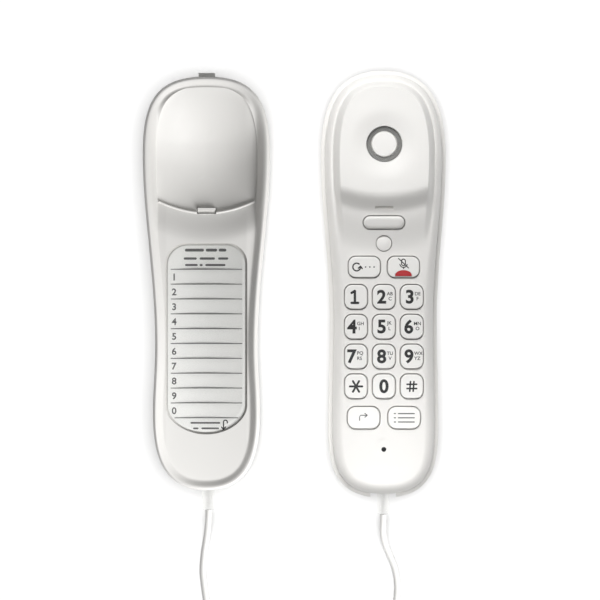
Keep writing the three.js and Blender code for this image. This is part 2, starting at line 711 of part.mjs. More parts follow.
function addHandset() {
  add(handset, "handset_back_shell", handsetBackShell(), WHITE);
  add(handset, "handset_front_shell", handsetFrontShell(), WHITE);
  addKeys();
  addEarpiece();
  addBoards();
  addHookSwitch();
  addMicrophone();

  const capTop = handsetFront(0, SCREW_CAP.y, DEEP);
  const cap = post(SCREW_CAP.r, 0, SCREW_CAP.y, capTop - SCREW_CAP.thickness, capTop, 24);
  add(handset, "screw_cap", cap, WHITE);
  add(handset, "handset_screw_upper", screw(0, SCREW_CAP.y, CAP_SEAT + 1.8, 10, 1), STEEL);
  for (const { name, x, y } of HANDSET_SCREWS) add(handset, name, screw(x, y, 2.9, 10, -1), STEEL);
  add(handset, "handset_cord_jack", modularJack(0, HANDSET_JACK.y, HANDSET_JACK.z), BLACK);
}

// ---------------------------------------------------------------- cradle

const cradleRing = bodyOutline(CRADLE);
const WINDOW_SPINE = { low: -62, high: 9 };
const CUP_SPINE = { low: 58, high: 74 };

// The ring round the ear cup: the head's shape inside the rim, closed below by the ridge.
function cupOutline(margin) {
  const half = CUP.half + margin;
  const top = CUP.top + margin;
  const endX = RIDGE.half + margin;
  const endY = ridgeY(RIDGE.half) - margin;
  const headY = CRADLE.head.y;
  const path = new THREE.Path();
  path.moveTo(0, top);
  curve(path, [0.77 * half, top], [half, lerp(headY, top, 0.7)], [half, headY]);
  curve(path, [half, lerp(headY, endY, 0.4)], [half, lerp(headY, endY, 0.7)], [endX, endY]);
  path.quadraticCurveTo(endX / 2, RIDGE.y - margin, 0, RIDGE.y - margin);
  return mirrored(path.getSpacedPoints(CUP_POINTS));
}

// The ear cup as a body: its underside is the cup's floor, thickness below it.
function cupBody(margin, thickness, insets) {
  const under = (x, y) => cupFloor(x, y) - thickness;
  return loft(cupOutline(margin), CUP_SPINE, [
    ...insets.map((d) => [d, under]),
    [0, RIM_Z + 2],
  ]);
}

function ridgeBead() {
  const reach = RIDGE.half - BEAD_RADIUS;
  const steps = 20;
  const points = Array.from({ length: steps + 1 }, (_, i) => {
    const x = lerp(-reach, reach, i / steps);
    const y = ridgeY(x) - BEAD_RADIUS;
    return [x, y, troughSurface(x, y)];
  });
  return tube(points, BEAD_RADIUS, steps);
}

function cradleTopShell() {
  const insets = [0.6, 1.4, 2.6, 3.9, 5.2, 6.6, 9, 12, 15, 20];
  const outer = loft(cradleRing, CRADLE.spine, [
    [0, PLATE.low],
    [0, cradleFront],
    ...insets.map((d) => [d, cradleFront]),
  ]);
  const ceiling = (x, y, d) => cradleFront(x, y, d) - lerp(TROUGH_FLOOR, WALL, smooth(y, 24, 34));
  const lead = WALL - 0.4; // the ceiling follows the front this far out, so that the walls stay thick
  const hollow = loft(cradleRing, CRADLE.spine, [
    [WALL, PLATE.low - 1],
    [WALL, (x, y) => ceiling(x, y, WALL)],
    ...[3.9, 5.2, 7, 9, 14, 20].map((d) => [d, (x, y) => ceiling(x, y, d + lead)]),
  ]);
  const pocket = loft(windowOutline(GAP), WINDOW_SPINE, [
    ...[10, 0].map((d) => [d, (x) => troughHeight(x) - POCKET_DEPTH]),
    [0, RIM_Z + 2],
  ]);
  const bosses = PLATE_SCREWS.map(([x, y]) => post(BOSS, x, y, PLATE.high + GAP, TROUGH_Z - 4));
  const bores = PLATE_SCREWS.map(([x, y]) => post(SCREW.bore, x, y, PLATE.low, 12.5, 12));
  const hookHalf = HOOK.half + GAP;
  const slide = SWITCH.half + SWITCH.travel + GAP;
  const body = SWITCH_BODY.half + GAP;
  const openings = [
    box(-hookHalf, hookHalf, HOOK.y0 - GAP, HOOK.y1 + GAP, HOOK.low - 4, RIM_Z),
    box(-slide, slide, SWITCH.inner - 2.6, SWITCH.outer + 1.5, SWITCH.low - GAP, SWITCH.high + GAP),
    box(-body, body, SWITCH_BODY.inner - GAP, SWITCH.inner, SWITCH_BODY.low - GAP, SWITCH_BODY.high + GAP),
    bar(8.8, 8, 0, CRADLE_JACK.z, CRADLE.bottom - 1, CRADLE_JACK.y - GAP),
  ];
  const filled = solid(outer);
  const cupWalls = common(filled, cupBody(WALL, WALL, [19, 13, 8, 4, 1.5, 0]));
  const shell = joined(cut(filled, [hollow]).add(cupWalls), [ridgeBead(), ...bosses]);
  return cut(shell, [cupBody(0, 0, [18, 12, 7, 3, 0]), pocket, ...bores, ...openings]);
}

function cradleBackPlate() {
  const plate = loft(cradleRing, CRADLE.spine, [
    [PLATE.inset, PLATE.low],
    [PLATE.inset, PLATE.high],
  ]);
  const through = PLATE.high + 2;
  const keyholes = KEYHOLES.y.flatMap((y) => [
    post(KEYHOLES.head, 0, y, 0, through),
    box(-KEYHOLES.neck, KEYHOLES.neck, y, y + KEYHOLES.length, 0, through),
  ]);
  const screwHoles = PLATE_SCREWS.flatMap(([x, y]) => [
    post(SCREW.bore + 0.2, x, y, 0, through, 12),
    post(SCREW.sink + 0.1, x, y, 0, PLATE.low + 1.7, 16),
  ]);
  const { y, mouthW, mouthLength } = LINE_JACK;
  const lineHole = block(roundedOutline(mouthW + 0.6, mouthLength + 1, 0.5), 0, through, 0, y);
  return cut(solid(plate), [...keyholes, ...screwHoles, lineHole]);
}

// The dial list's card and window lie in the trough's pocket and follow its curve.
function addDialList() {
  const slab = (margin, low, thickness) => {
    const level = (height) => (x) => troughHeight(x) - POCKET_DEPTH + height;
    return loft(windowOutline(margin), WINDOW_SPINE, [
      ...[10, 0].map((d) => [d, level(low)]),
      ...[0, 10].map((d) => [d, level(low + thickness)]),
    ]);
  };
  add(cradle, "dial_list_card", slab(-0.8, GAP, CARD_THICKNESS), PAPER);
  add(cradle, "dial_list_window", slab(0, 2 * GAP + CARD_THICKNESS, WINDOW.thickness), CLEAR);
}

function addRetainingHook() {
  const base = solid(box(-HOOK.half, HOOK.half, HOOK.y0, HOOK.y1, HOOK.low, HOOK.high));
  const lip = box(-HOOK.half, HOOK.half, HOOK.lipY, HOOK.y1, HOOK.high - 1, HOOK.lipHigh);
  add(cradle, "retaining_hook", joined(base, [lip]), WHITE);
}

function addRingerSwitch() {
  const { half, inner, low, high } = SWITCH_BODY;
  const knob = box(-SWITCH.half, SWITCH.half, SWITCH.inner, SWITCH.outer, SWITCH.low, SWITCH.high);
  add(cradle, "ringer_switch_knob", knob, GREY);
  add(cradle, "ringer_switch_body", box(-half, half, inner, SWITCH.inner - GAP, low, high), BLACK);
}

function addCradleParts() {
  const { w, h, y, low, high } = CRADLE_BOARD;
  add(cradle, "cradle_board", block(roundedOutline(w, h, 2), low, high, 0, y), BOARD_GREEN);
  add(cradle, "ringer_sounder", post(SOUNDER.r, 0, y, high + GAP, SOUNDER.high, 24), BLACK);
  const plan = roundedOutline(BALLAST.w, BALLAST.h, 2);
  const ballast = block(plan, PLATE.high + GAP, BALLAST.high, 0, BALLAST.y);
  add(cradle, "ballast_plate", ballast, STEEL);
}

function addLineJack() {
  const { y, w, length, high, mouthW, mouthLength, mouthHigh } = LINE_JACK;
  const body = block(roundedOutline(w, length, 0.5), PLATE.high + GAP, high, 0, y);
  const mouth = block(roundedOutline(mouthW, mouthLength, 0.4), 0, mouthHigh, 0, y);
  add(cradle, "line_jack", cut(solid(body), [mouth]), BLACK);
}

function addCradle() {
  add(cradle, "cradle_top_shell", cradleTopShell(), WHITE);
  add(cradle, "cradle_back_plate", cradleBackPlate(), GREY);
  FOOT_SPOTS.forEach(([x, y], i) => {
    add(cradle, "rubber_foot_" + (i + 1), post(FOOT_PAD.r, x, y, 0, FOOT_PAD.height), RUBBER);
  });
  addDialList();
  addRetainingHook();
  addRingerSwitch();
  addCradleParts();
  addLineJack();
  add(cradle, "cradle_cord_jack", modularJack(0.8, CRADLE_JACK.y, CRADLE_JACK.z), BLACK);
  PLATE_SCREWS.forEach(([x, y], i) => {
    add(cradle, "plate_screw_" + (i + 1), screw(x, y, PLATE.low + 0.2, 8, -1), STEEL);
  });
}

// ---------------------------------------------------------------- cord

function addCord() {
  add(phone, "cradle_cord_plug", cordPlug(-45.4, CRADLE_JACK.y, CRADLE_JACK.z), CLEAR);
  add(phone, "cradle_cord_tail", tube(CRADLE_TAIL, CORD_RADIUS, 14), WHITE);
  add(phone, "curly_cord", tube(CURL_AXIS.map(([x, y]) => [x, y, CURL_Z]), CURL_RADIUS, 50), WHITE);
  add(phone, "handset_cord_tail", tube(HANDSET_TAIL, CORD_RADIUS, 14), WHITE);
  add(phone, "handset_cord_plug", cordPlug(HANDSET.x, HANDSET_JACK.y, HANDSET_JACK.z), CLEAR);
}

addCradle();
addHandset();
addCord();

export default phone;
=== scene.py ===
"""Looks of a corded slimline wall phone: a cradle with an ear cup and a dial list, and a keypad handset."""

import json
import math

import bmesh
import bpy
import numpy as np
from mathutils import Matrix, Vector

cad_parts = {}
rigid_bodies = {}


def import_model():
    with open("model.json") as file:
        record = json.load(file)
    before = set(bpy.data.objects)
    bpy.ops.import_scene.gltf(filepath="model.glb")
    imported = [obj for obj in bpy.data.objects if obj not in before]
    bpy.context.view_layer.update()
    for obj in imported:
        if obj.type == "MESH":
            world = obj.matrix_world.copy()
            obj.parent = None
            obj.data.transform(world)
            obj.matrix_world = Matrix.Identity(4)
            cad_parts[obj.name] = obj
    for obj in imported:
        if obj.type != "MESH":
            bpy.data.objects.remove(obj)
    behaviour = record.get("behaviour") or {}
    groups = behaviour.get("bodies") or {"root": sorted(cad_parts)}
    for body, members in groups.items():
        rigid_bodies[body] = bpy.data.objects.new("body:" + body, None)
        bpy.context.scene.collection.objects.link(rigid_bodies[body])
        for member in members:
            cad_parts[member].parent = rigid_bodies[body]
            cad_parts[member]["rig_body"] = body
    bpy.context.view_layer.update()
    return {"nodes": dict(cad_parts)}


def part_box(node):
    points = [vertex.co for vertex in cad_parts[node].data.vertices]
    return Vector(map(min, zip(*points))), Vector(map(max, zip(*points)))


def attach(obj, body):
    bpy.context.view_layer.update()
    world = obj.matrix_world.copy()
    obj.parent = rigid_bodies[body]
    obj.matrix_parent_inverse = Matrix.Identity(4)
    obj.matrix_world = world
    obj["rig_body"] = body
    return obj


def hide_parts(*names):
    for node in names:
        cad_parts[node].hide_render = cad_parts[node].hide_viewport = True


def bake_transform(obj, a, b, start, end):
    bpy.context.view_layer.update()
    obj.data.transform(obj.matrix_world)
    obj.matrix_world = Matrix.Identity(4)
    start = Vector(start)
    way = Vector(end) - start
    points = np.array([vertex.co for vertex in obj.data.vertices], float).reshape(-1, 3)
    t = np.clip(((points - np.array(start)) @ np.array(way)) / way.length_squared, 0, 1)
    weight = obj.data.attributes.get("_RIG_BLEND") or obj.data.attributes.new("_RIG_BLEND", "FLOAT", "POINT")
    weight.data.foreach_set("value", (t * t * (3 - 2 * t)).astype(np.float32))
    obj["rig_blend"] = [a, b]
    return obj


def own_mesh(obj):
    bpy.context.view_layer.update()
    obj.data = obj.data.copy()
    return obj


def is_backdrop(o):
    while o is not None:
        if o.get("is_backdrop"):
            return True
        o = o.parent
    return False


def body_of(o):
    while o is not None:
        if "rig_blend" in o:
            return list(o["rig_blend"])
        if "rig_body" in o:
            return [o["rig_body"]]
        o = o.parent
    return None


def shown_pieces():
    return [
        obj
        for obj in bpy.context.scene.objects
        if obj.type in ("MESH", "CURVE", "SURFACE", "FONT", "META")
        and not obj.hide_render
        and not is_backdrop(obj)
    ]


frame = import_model()
nodes = frame["nodes"]

MM = 0.001

# ---------------------------------------------------------------- camera

VIEW_CENTRE = (0.00275, -0.0087)
VIEW_HEIGHT = 0.012  # of the plane that the frame's width is measured in
VIEW_WIDTH = 0.315
CAMERA_DISTANCE = 1.75

camera_data = bpy.data.cameras.new("camera")
camera_data.sensor_width = 36
camera_data.lens = camera_data.sensor_width * CAMERA_DISTANCE / VIEW_WIDTH
camera = bpy.data.objects.new("camera", camera_data)
camera.location = (*VIEW_CENTRE, VIEW_HEIGHT + CAMERA_DISTANCE)
bpy.context.scene.collection.objects.link(camera)
bpy.context.scene.camera = camera
bpy.context.scene.view_settings.view_transform = "Standard"

# ---------------------------------------------------------------- meshes


def smooth(value, low, high):
    t = np.clip((value - low) / (high - low), 0, 1)
    return t * t * (3 - 2 * t)


def mesh_object(name, mesh, material=None, sharp_angle=32):
    """An object with smooth shading, and sharp edges where faces meet at more than that angle."""
    mesh.polygons.foreach_set("use_smooth", [True] * len(mesh.polygons))
    mesh.set_sharp_from_angle(angle=math.radians(sharp_angle))
    mesh.materials.clear()
    if material:
        mesh.materials.append(material)
    mesh.polygons.foreach_set("material_index", [0] * len(mesh.polygons))
    obj = bpy.data.objects.new(name, mesh)
    bpy.context.scene.collection.objects.link(obj)
    return obj


def mesh_from(name, points, faces, x=0.0, y=0.0):
    """A closed mesh in metres, from points in millimetres that are moved by (x, y)."""
    mesh = bpy.data.meshes.new(name)
    mesh.from_pydata([((px + x) * MM, (py + y) * MM, pz * MM) for px, py, pz in points], [], faces)
    shape = bmesh.new()
    shape.from_mesh(mesh)
    bmesh.ops.remove_doubles(shape, verts=shape.verts, dist=1e-7)
    bmesh.ops.dissolve_degenerate(shape, edges=shape.edges, dist=1e-8)
    bmesh.ops.recalc_face_normals(shape, faces=shape.faces)
    shape.to_mesh(mesh)
    shape.free()
    return mesh


def skin_faces(count, pairs):
    """The four-sided faces between pairs of rings, each of count points."""
    faces = []
    for low, high in pairs:
        for i in range(count):
            j = (i + 1) % count
            faces.append((low * count + i, low * count + j, high * count + j, high * count + i))
    return faces


def neighbours(count):
    return [(k, k + 1) for k in range(count - 1)]


def layers_mesh(name, layers, x=0.0, y=0.0):
    """Skins rings of points, one after another. The first and last rings are closed by a face each."""
    count = len(layers[0])
    faces = skin_faces(count, neighbours(len(layers)))
    top = (len(layers) - 1) * count
    faces.append(tuple(range(count - 1, -1, -1)))
    faces.append(tuple(range(top, top + count)))
    return mesh_from(name, np.concatenate(layers), faces, x, y)


def loft_mesh(name, outline, spine, rings, x=0.0, y=0.0):
    """Skins a closed body through insets of one outline, from the underside round to the top.

    Each ring is (inset, height), where height is a number or a function of x, y and the inset. The
    first and last rings close onto the spine, the stretch of the Y axis that the insets shrink to.
    """
    anchors = np.stack([np.zeros(len(outline)), np.clip(outline[:, 1], *spine)], 1)
    reach = np.linalg.norm(outline - anchors, axis=1)

    def layer(inset, height):
        depth = np.minimum(inset, reach)
        flat = anchors + (outline - anchors) * (1 - depth / reach)[:, None]
        z = height(flat[:, 0], flat[:, 1], depth) if callable(height) else np.full(len(flat), height)
        return np.column_stack([flat, z])

    ends = layer(np.inf, rings[0][1]), layer(np.inf, rings[-1][1])
    layers = [ends[0], *[layer(d, z) for d, z in rings], ends[1]]
    faces = skin_faces(len(outline), neighbours(len(layers)))
    return mesh_from(name, np.concatenate(layers), faces, x, y)


def turned_mesh(name, profile, x, y, sides=64):
    """A body turned about the vertical through (x, y), from a profile of (radius, height) points."""
    angles = np.arange(sides) / sides * 2 * math.pi
    around = np.column_stack([np.cos(angles), np.sin(angles)])
    layers = [np.column_stack([r * around, np.full(sides, z)]) for r, z in profile]
    if profile[0] != profile[-1]:
        return layers_mesh(name, layers, x, y)
    loops = len(profile) - 1
    faces = skin_faces(sides, [(k, (k + 1) % loops) for k in range(loops)])
    return mesh_from(name, np.concatenate(layers[:-1]), faces, x, y)


def block_mesh(name, outline, low, high, x=0.0, y=0.0):
    """A straight-sided body between two heights."""
    layers = [np.column_stack([outline, np.full(len(outline), z)]) for z in (low, high)]
    return layers_mesh(name, layers, x, y)


def box_mesh(name, x0, x1, y0, y1, z0, z1, x=0.0):
    return block_mesh(name, np.array([(x0, y0), (x1, y0), (x1, y1), (x0, y1)], float), z0, z1, x)


def joined_meshes(name, meshes):
    """One mesh from several separate ones."""
    shape = bmesh.new()
    for mesh in meshes:
        shape.from_mesh(mesh)
    result = bpy.data.meshes.new(name)
    shape.to_mesh(result)
    shape.free()
    for mesh in meshes:
        bpy.data.meshes.remove(mesh)
    return result


def evaluated_mesh(obj):
    return bpy.data.meshes.new_from_object(obj.evaluated_get(bpy.context.evaluated_depsgraph_get()))


def carved(mesh, cuts=(), additions=(), commons=()):
    """The mesh with the additions joined on and the cuts taken away, kept only inside the commons."""
    target = bpy.data.objects.new(mesh.name, mesh)
    tools = []
    for operation, parts in (("UNION", additions), ("DIFFERENCE", cuts), ("INTERSECT", commons)):
        for part in parts:
            tool = bpy.data.objects.new(part.name, part)
            tools.append(tool)
            modifier = target.modifiers.new(part.name, "BOOLEAN")
            modifier.operation = operation
            modifier.object = tool
            modifier.solver = "MANIFOLD"
    for obj in (target, *tools):
        bpy.context.scene.collection.objects.link(obj)
    result = evaluated_mesh(target)
    result.name = mesh.name
    for obj in (target, *tools):
        spent = obj.data
        bpy.data.objects.remove(obj)
        bpy.data.meshes.remove(spent)
    return result


# ---------------------------------------------------------------- outlines


def bezier(a, b, c, d, steps=60):
    t = np.linspace(0, 1, steps + 1)[:, None]
    a, b, c, d = (np.array(p, float) for p in (a, b, c, d))
    return (1 - t) ** 3 * a + 3 * (1 - t) ** 2 * t * b + 3 * (1 - t) * t**2 * c + t**3 * d


def evenly(points, count):
    """The line through the points, cut into count equal steps."""
    steps = np.linalg.norm(np.diff(points, axis=0), axis=1)
    along = np.concatenate([[0], np.cumsum(steps)])
    places = np.linspace(0, along[-1], count + 1)
    return np.column_stack([np.interp(places, along, points[:, k]) for k in range(points.shape[1])])


def mirrored(half):
    """Closes a half outline, given from top to bottom on the +X side, into a counter-clockwise ring."""
    return np.concatenate([half[::-1], half[1:-1] * (-1, 1)])


def body_outline(top, bottom, head, waist, foot, count):
    """The ring of points round a body, seen from the front: a rounded head, a waist and a rounded foot."""
    (head_half, head_y, head_full), (waist_half, waist_y), (foot_half, foot_y, foot_full) = head, waist, foot
    to_waist, to_foot, foot_fall = head_y - waist_y, waist_y - foot_y, foot_y - bottom
    curves = [
        bezier(
            (0, top),
            (head_full * head_half, top),
            (head_half, head_y + 0.7 * (top - head_y)),
            (head_half, head_y),
        ),
        bezier(
            (head_half, head_y),
            (head_half, head_y - 0.33 * to_waist),
            (waist_half, waist_y + 0.37 * to_waist),
            (waist_half, waist_y),
        ),
        bezier(
            (waist_half, waist_y),
            (waist_half, waist_y - 0.37 * to_foot),
            (foot_half, foot_y + 0.37 * to_foot),
            (foot_half, foot_y),
        ),
        bezier(
            (foot_half, foot_y),
            (foot_half, foot_y - foot_full * foot_fall),
            (0.83 * foot_half, bottom),
            (0, bottom),
        ),
    ]
    return mirrored(evenly(np.concatenate([curves[0], *[curve[1:] for curve in curves[1:]]]), count))


def arc(cx, cy, r, start, end, steps):
    angles = np.linspace(start, end, steps + 1)
    return np.column_stack([cx + r * np.cos(angles), cy + r * np.sin(angles)])


def rounded_outline(w, h, r, steps=12):
    """A ring of points round a rectangle with round corners, centred on the origin."""
    quarter = math.pi / 2
    cx, cy = w / 2 - r, h / 2 - r
    corners = enumerate([(cx, cy), (-cx, cy), (-cx, -cy), (cx, -cy)])
    return np.concatenate([arc(x, y, r, k * quarter, (k + 1) * quarter, steps) for k, (x, y) in corners])


def circle(r, steps=48):
    return arc(0, 0, r, 0, 2 * math.pi * (1 - 1 / steps), steps - 1)


# ---------------------------------------------------------------- materials


class Finish:
    """A node material being built, with its Principled shader and its links."""

    def __init__(self, name, color, roughness, **inputs):
        self.material = bpy.data.materials.new(name)
        self.material.use_nodes = True
        self.tree = self.material.node_tree
        self.shader = self.tree.nodes["Principled BSDF"]
        self.shader.inputs["Base Color"].default_value = (*color, 1)
        self.shader.inputs["Roughness"].default_value = roughness
        for socket, value in inputs.items():
            self.shader.inputs[socket.replace("_", " ")].default_value = value
        self.color = color
        self.roughness = roughness
        self.place = self.node("ShaderNodeTexCoord").outputs["Object"]

    def node(self, kind, **inputs):
        made = self.tree.nodes.new(kind)
        for socket, value in inputs.items():
            made.inputs[socket.replace("_", " ")].default_value = value
        return made

    def link(self, source, target):
        self.tree.links.new(source, target)

    def noise(self, size, detail=3.0, stretch=(1, 1, 1)):
        """Noise with features of about that size in metres."""
        mapping = self.node("ShaderNodeMapping")
        mapping.inputs["Scale"].default_value = stretch
        texture = self.node("ShaderNodeTexNoise", Scale=1 / size, Detail=detail)
        self.link(self.place, mapping.inputs["Vector"])
        self.link(mapping.outputs["Vector"], texture.inputs["Vector"])
        return texture.outputs["Fac"]

    def mottle(self, size, strength):
        """Varies the colour a little, darker in patches of that size."""
        mix = self.node("ShaderNodeMix")
        mix.data_type = "RGBA"
        mix.inputs["A"].default_value = (*self.color, 1)
        mix.inputs["B"].default_value = (*[c * (1 - strength) for c in self.color], 1)
        self.link(self.noise(size), mix.inputs["Factor"])
        self.link(mix.outputs["Result"], self.shader.inputs["Base Color"])
        return self

    def sheen_patches(self, size, spread):
        """Varies the roughness round its value, as handling and moulding do."""
        levels = self.node("ShaderNodeMapRange")
        levels.inputs["From Min"].default_value = 0.3
        levels.inputs["From Max"].default_value = 0.7
        levels.inputs["To Min"].default_value = self.roughness - spread
        levels.inputs["To Max"].default_value = self.roughness + spread
        self.link(self.noise(size), levels.inputs["Value"])
        self.link(levels.outputs["Result"], self.shader.inputs["Roughness"])
        return self

    def relief(self, height, depth, strength=1.0):
        """Bumps the surface by a height field, whose full range is depth metres."""
        bump = self.node("ShaderNodeBump", Strength=strength, Distance=depth)
        self.link(height, bump.inputs["Height"])
        self.link(bump.outputs["Normal"], self.shader.inputs["Normal"])
        return self

    def grain(self, size, depth, strength=1.0, stretch=(1, 1, 1)):
        return self.relief(self.noise(size, 2.0, stretch), depth, strength)


def moulded(name, color, roughness, grain=0.0004, depth=0.000008, mottle=0.02, **inputs):
    """Moulded plastic: a fine spark-eroded grain, and a faint mottle in the colour and the gloss."""
    finish = Finish(name, color, roughness, **inputs)
    return finish.mottle(0.03, mottle).sheen_patches(0.012, 0.04).grain(grain, depth).material


def brushed(name, color, roughness):
    finish = Finish(name, color, roughness, Metallic=1.0).mottle(0.004, 0.08)
    return finish.sheen_patches(0.003, 0.08).grain(0.0004, 0.00001, 1.0, (1, 12, 1)).material


def printed(name, color, roughness, mottle):
    return Finish(name, color, roughness).mottle(0.0006, mottle).grain(0.0003, 0.00001).material


def board_finish():
    """Green solder mask over a pattern of copper tracks."""
    finish = Finish("solder_mask", (0.03, 0.17, 0.075), 0.35)
    tracks = finish.node("ShaderNodeTexBrick", Scale=180.0, Mortar_Size=0.03)
    finish.link(finish.place, tracks.inputs["Vector"])
    tracks.inputs["Color1"].default_value = (0.03, 0.17, 0.075, 1)
    tracks.inputs["Color2"].default_value = (0.035, 0.2, 0.09, 1)
    tracks.inputs["Mortar"].default_value = (0.07, 0.3, 0.14, 1)
    finish.link(tracks.outputs["Color"], finish.shader.inputs["Base Color"])
    return finish.relief(tracks.outputs["Fac"], 0.00003).material


def mesh_finish():
    """Dark woven mesh over the sound holes."""
    finish = Finish("sound_mesh", (0.26, 0.26, 0.25), 0.7)
    threads = []
    for turn in (45, -45):
        mapping = finish.node("ShaderNodeMapping")
        mapping.inputs["Rotation"].default_value = (0, 0, math.radians(turn))
        wave = finish.node("ShaderNodeTexWave", Scale=450.0, Distortion=0.0)
        finish.link(finish.place, mapping.inputs["Vector"])
        finish.link(mapping.outputs["Vector"], wave.inputs["Vector"])
        threads.append(wave.outputs["Fac"])
    weave = finish.node("ShaderNodeMath")
    weave.operation = "MULTIPLY"
    for thread, socket in zip(threads, weave.inputs):
        finish.link(thread, socket)
    return finish.mottle(0.002, 0.3).relief(weave.outputs["Value"], 0.0002).material


def clear_finish(name, tint):
    """Thin clear plastic: see-through face on, with a gloss that grows towards grazing angles."""
    finish = Finish(name, (1, 1, 1), 0.06, Metallic=0.0)
    finish.sheen_patches(0.02, 0.03).grain(0.01, 0.00001)
    through = finish.node("ShaderNodeBsdfTransparent")
    through.inputs["Color"].default_value = (*tint, 1)
    edge = finish.node("ShaderNodeFresnel", IOR=1.3)
    mix = finish.node("ShaderNodeMixShader")
    finish.link(edge.outputs["Fac"], mix.inputs[0])
    finish.link(through.outputs["BSDF"], mix.inputs[1])
    finish.link(finish.shader.outputs["BSDF"], mix.inputs[2])
    finish.link(mix.outputs["Shader"], finish.tree.nodes["Material Output"].inputs["Surface"])
    return finish.material


SHELL_WHITE = moulded("shell_white", (0.815, 0.803, 0.778), 0.5)
KEY_WHITE = moulded("key_white", (0.865, 0.855, 0.83), 0.4, grain=0.0003)
GREY_PLASTIC = moulded("grey_plastic", (0.55, 0.55, 0.54), 0.5, grain=0.0006, depth=0.00003)
# Near-white, lighter than the knob's own grey: painted light that brightens the ringer switch knob where it
# sits in the shade of the cradle's head.
SWITCH_PAINTED_LIGHT = moulded("switch_grey", (0.93, 0.93, 0.91), 0.4)
BLACK_PLASTIC = moulded("black_plastic", (0.02, 0.02, 0.022), 0.45)
RUBBER = moulded("foot_rubber", (0.03, 0.03, 0.032), 0.8, grain=0.0008, depth=0.00004)
SILICONE = moulded("mat_silicone", (0.6, 0.61, 0.58), 0.6, grain=0.001, depth=0.00002)
RED_LENS = moulded("mute_red", (0.5, 0.045, 0.05), 0.18, grain=0.0006, depth=0.000004)
CARD = Finish("list_card", (0.96, 0.96, 0.94), 0.75).mottle(0.0015, 0.03).grain(0.0005, 0.00002).material
INK = printed("printed_ink", (0.012, 0.012, 0.013), 0.5, 0.3)
GREY_INK = printed("printed_grey_ink", (0.13, 0.13, 0.13), 0.55, 0.2)
CORD_VINYL = moulded("cord_vinyl", (0.8, 0.795, 0.775), 0.38, grain=0.0015, depth=0.00003)
STEEL = brushed("zinc_steel", (0.55, 0.56, 0.57), 0.32)
CAPSULE_METAL = brushed("capsule_metal", (0.66, 0.66, 0.65), 0.28)
BOARD = board_finish()
SOUND_MESH = mesh_finish()
CLEAR_WINDOW = clear_finish("clear_window", (0.995, 0.995, 0.993))
CLEAR_PLUG = clear_finish("clear_plug", (0.99, 0.99, 0.985))

# ---------------------------------------------------------------- cord

CORD_RADIUS = 1.7
COIL_RADIUS = 3.8  # of the curls, to the middle of the cord
COIL_BOTTOM = 1.8  # height of the cord's middle where a curl touches the table
COIL_PITCH = 3.55  # from curl to curl, where they touch
END_PITCH = 20.0  # at both ends, where the curls open out
END_LENGTH = 18.0
STEPS_PER_TURN = 16
CORD_SIDES = 10

# The straight tail from the cradle, the curly part's centre line and the straight tail to the handset.
CRADLE_TAIL = [
    (-45.4, -119.1, 8.6), (-45.4, -123, 8.2), (-45.9, -129, 5.6), (-46.8, -135.5, 3),
    (-48, -143, 1.8), (-48.6, -152, 1.8), (-47.4, -163, 1.8), (-46, -172, 1.8),
    (-45, -180, 1.8),
]
COIL_AXIS = [
    (-45, -180), (-44, -187), (-39, -193.5), (-31, -196.5), (-18, -197), (-4, -197), (10, -197),
    (18.5, -200.5), (22, -208), (18.5, -215.5), (10, -219), (-4, -219), (-20, -219), (-34, -219),
    (-42.5, -222.5), (-46, -230), (-42.5, -237.5), (-34, -241), (-18, -241), (0, -241), (18, -241),
    (34, -240), (45, -235), (51, -225), (52.5, -212), (52.5, -198), (52, -186), (52, -178),
]
HANDSET_TAIL = [
    (52, -178, 1.8), (53.4, -170, 1.8), (54.2, -160, 1.8), (53, -151, 1.8),
    (50.2, -143.5, 2), (47.6, -137, 3.4), (46.5, -131, 6), (46.5, -126, 7.9),
    (46.5, -121.5, 8.4),
]
LIFTED_FROM = (0.005, -0.15, 0)  # the cord follows the cradle up to here, across the row
LIFTED_TO = (0.05, -0.13, 0)  # and the handset from here


def through_points(points, steps=24):
    """A smooth line through the points: a uniform Catmull-Rom spline."""
    points = np.array(points, float)
    padded = np.concatenate([[2 * points[0] - points[1]], points, [2 * points[-1] - points[-2]]])
    t = np.arange(steps)[:, None] / steps
    pieces = []
    for before, start, end, after in zip(padded, padded[1:], padded[2:], padded[3:]):
        leave, arrive = (end - before) / 2, (after - start) / 2
        pieces.append(
            (2 * t**3 - 3 * t**2 + 1) * start
            + (t**3 - 2 * t**2 + t) * leave
            + (3 * t**2 - 2 * t**3) * end
            + (t**3 - t**2) * arrive
        )
    return np.concatenate([*pieces, points[-1:]])


def coil_path():
    """The curls round the coil's centre line, touching inside each bend and opening out at both ends."""
    axis = through_points(COIL_AXIS)
    length = np.linalg.norm(np.diff(axis, axis=0), axis=1).sum()
    steps, window = 4000, 121
    axis = evenly(axis, steps)
    along = np.linspace(0, length, steps + 1)
    heading = np.unwrap(np.arctan2(*np.gradient(axis, axis=0)[:, ::-1].T))
    bend = np.abs(np.gradient(heading, along))
    bend = np.convolve(np.pad(bend, window // 2, "edge"), np.full(window, 1 / window), "valid")
    opening = smooth(np.minimum(along, length - along), 0, END_LENGTH)
    pitch = END_PITCH + (COIL_PITCH / (1 - COIL_RADIUS * bend) - END_PITCH) * opening
    turns = np.concatenate([[0], np.cumsum(np.diff(along) / pitch[1:])])
    turns *= round(turns[-1]) / turns[-1]
    places = np.linspace(0, turns[-1], round(turns[-1]) * STEPS_PER_TURN + 1)
    x, y, heading, opening = (np.interp(places, turns, v) for v in (*axis.T, heading, opening))
    radius = COIL_RADIUS * opening
    swing = radius * np.sin(2 * math.pi * places)
    rise = radius * (1 - np.cos(2 * math.pi * places))
    return np.column_stack([x - swing * np.sin(heading), y + swing * np.cos(heading), COIL_BOTTOM + rise])


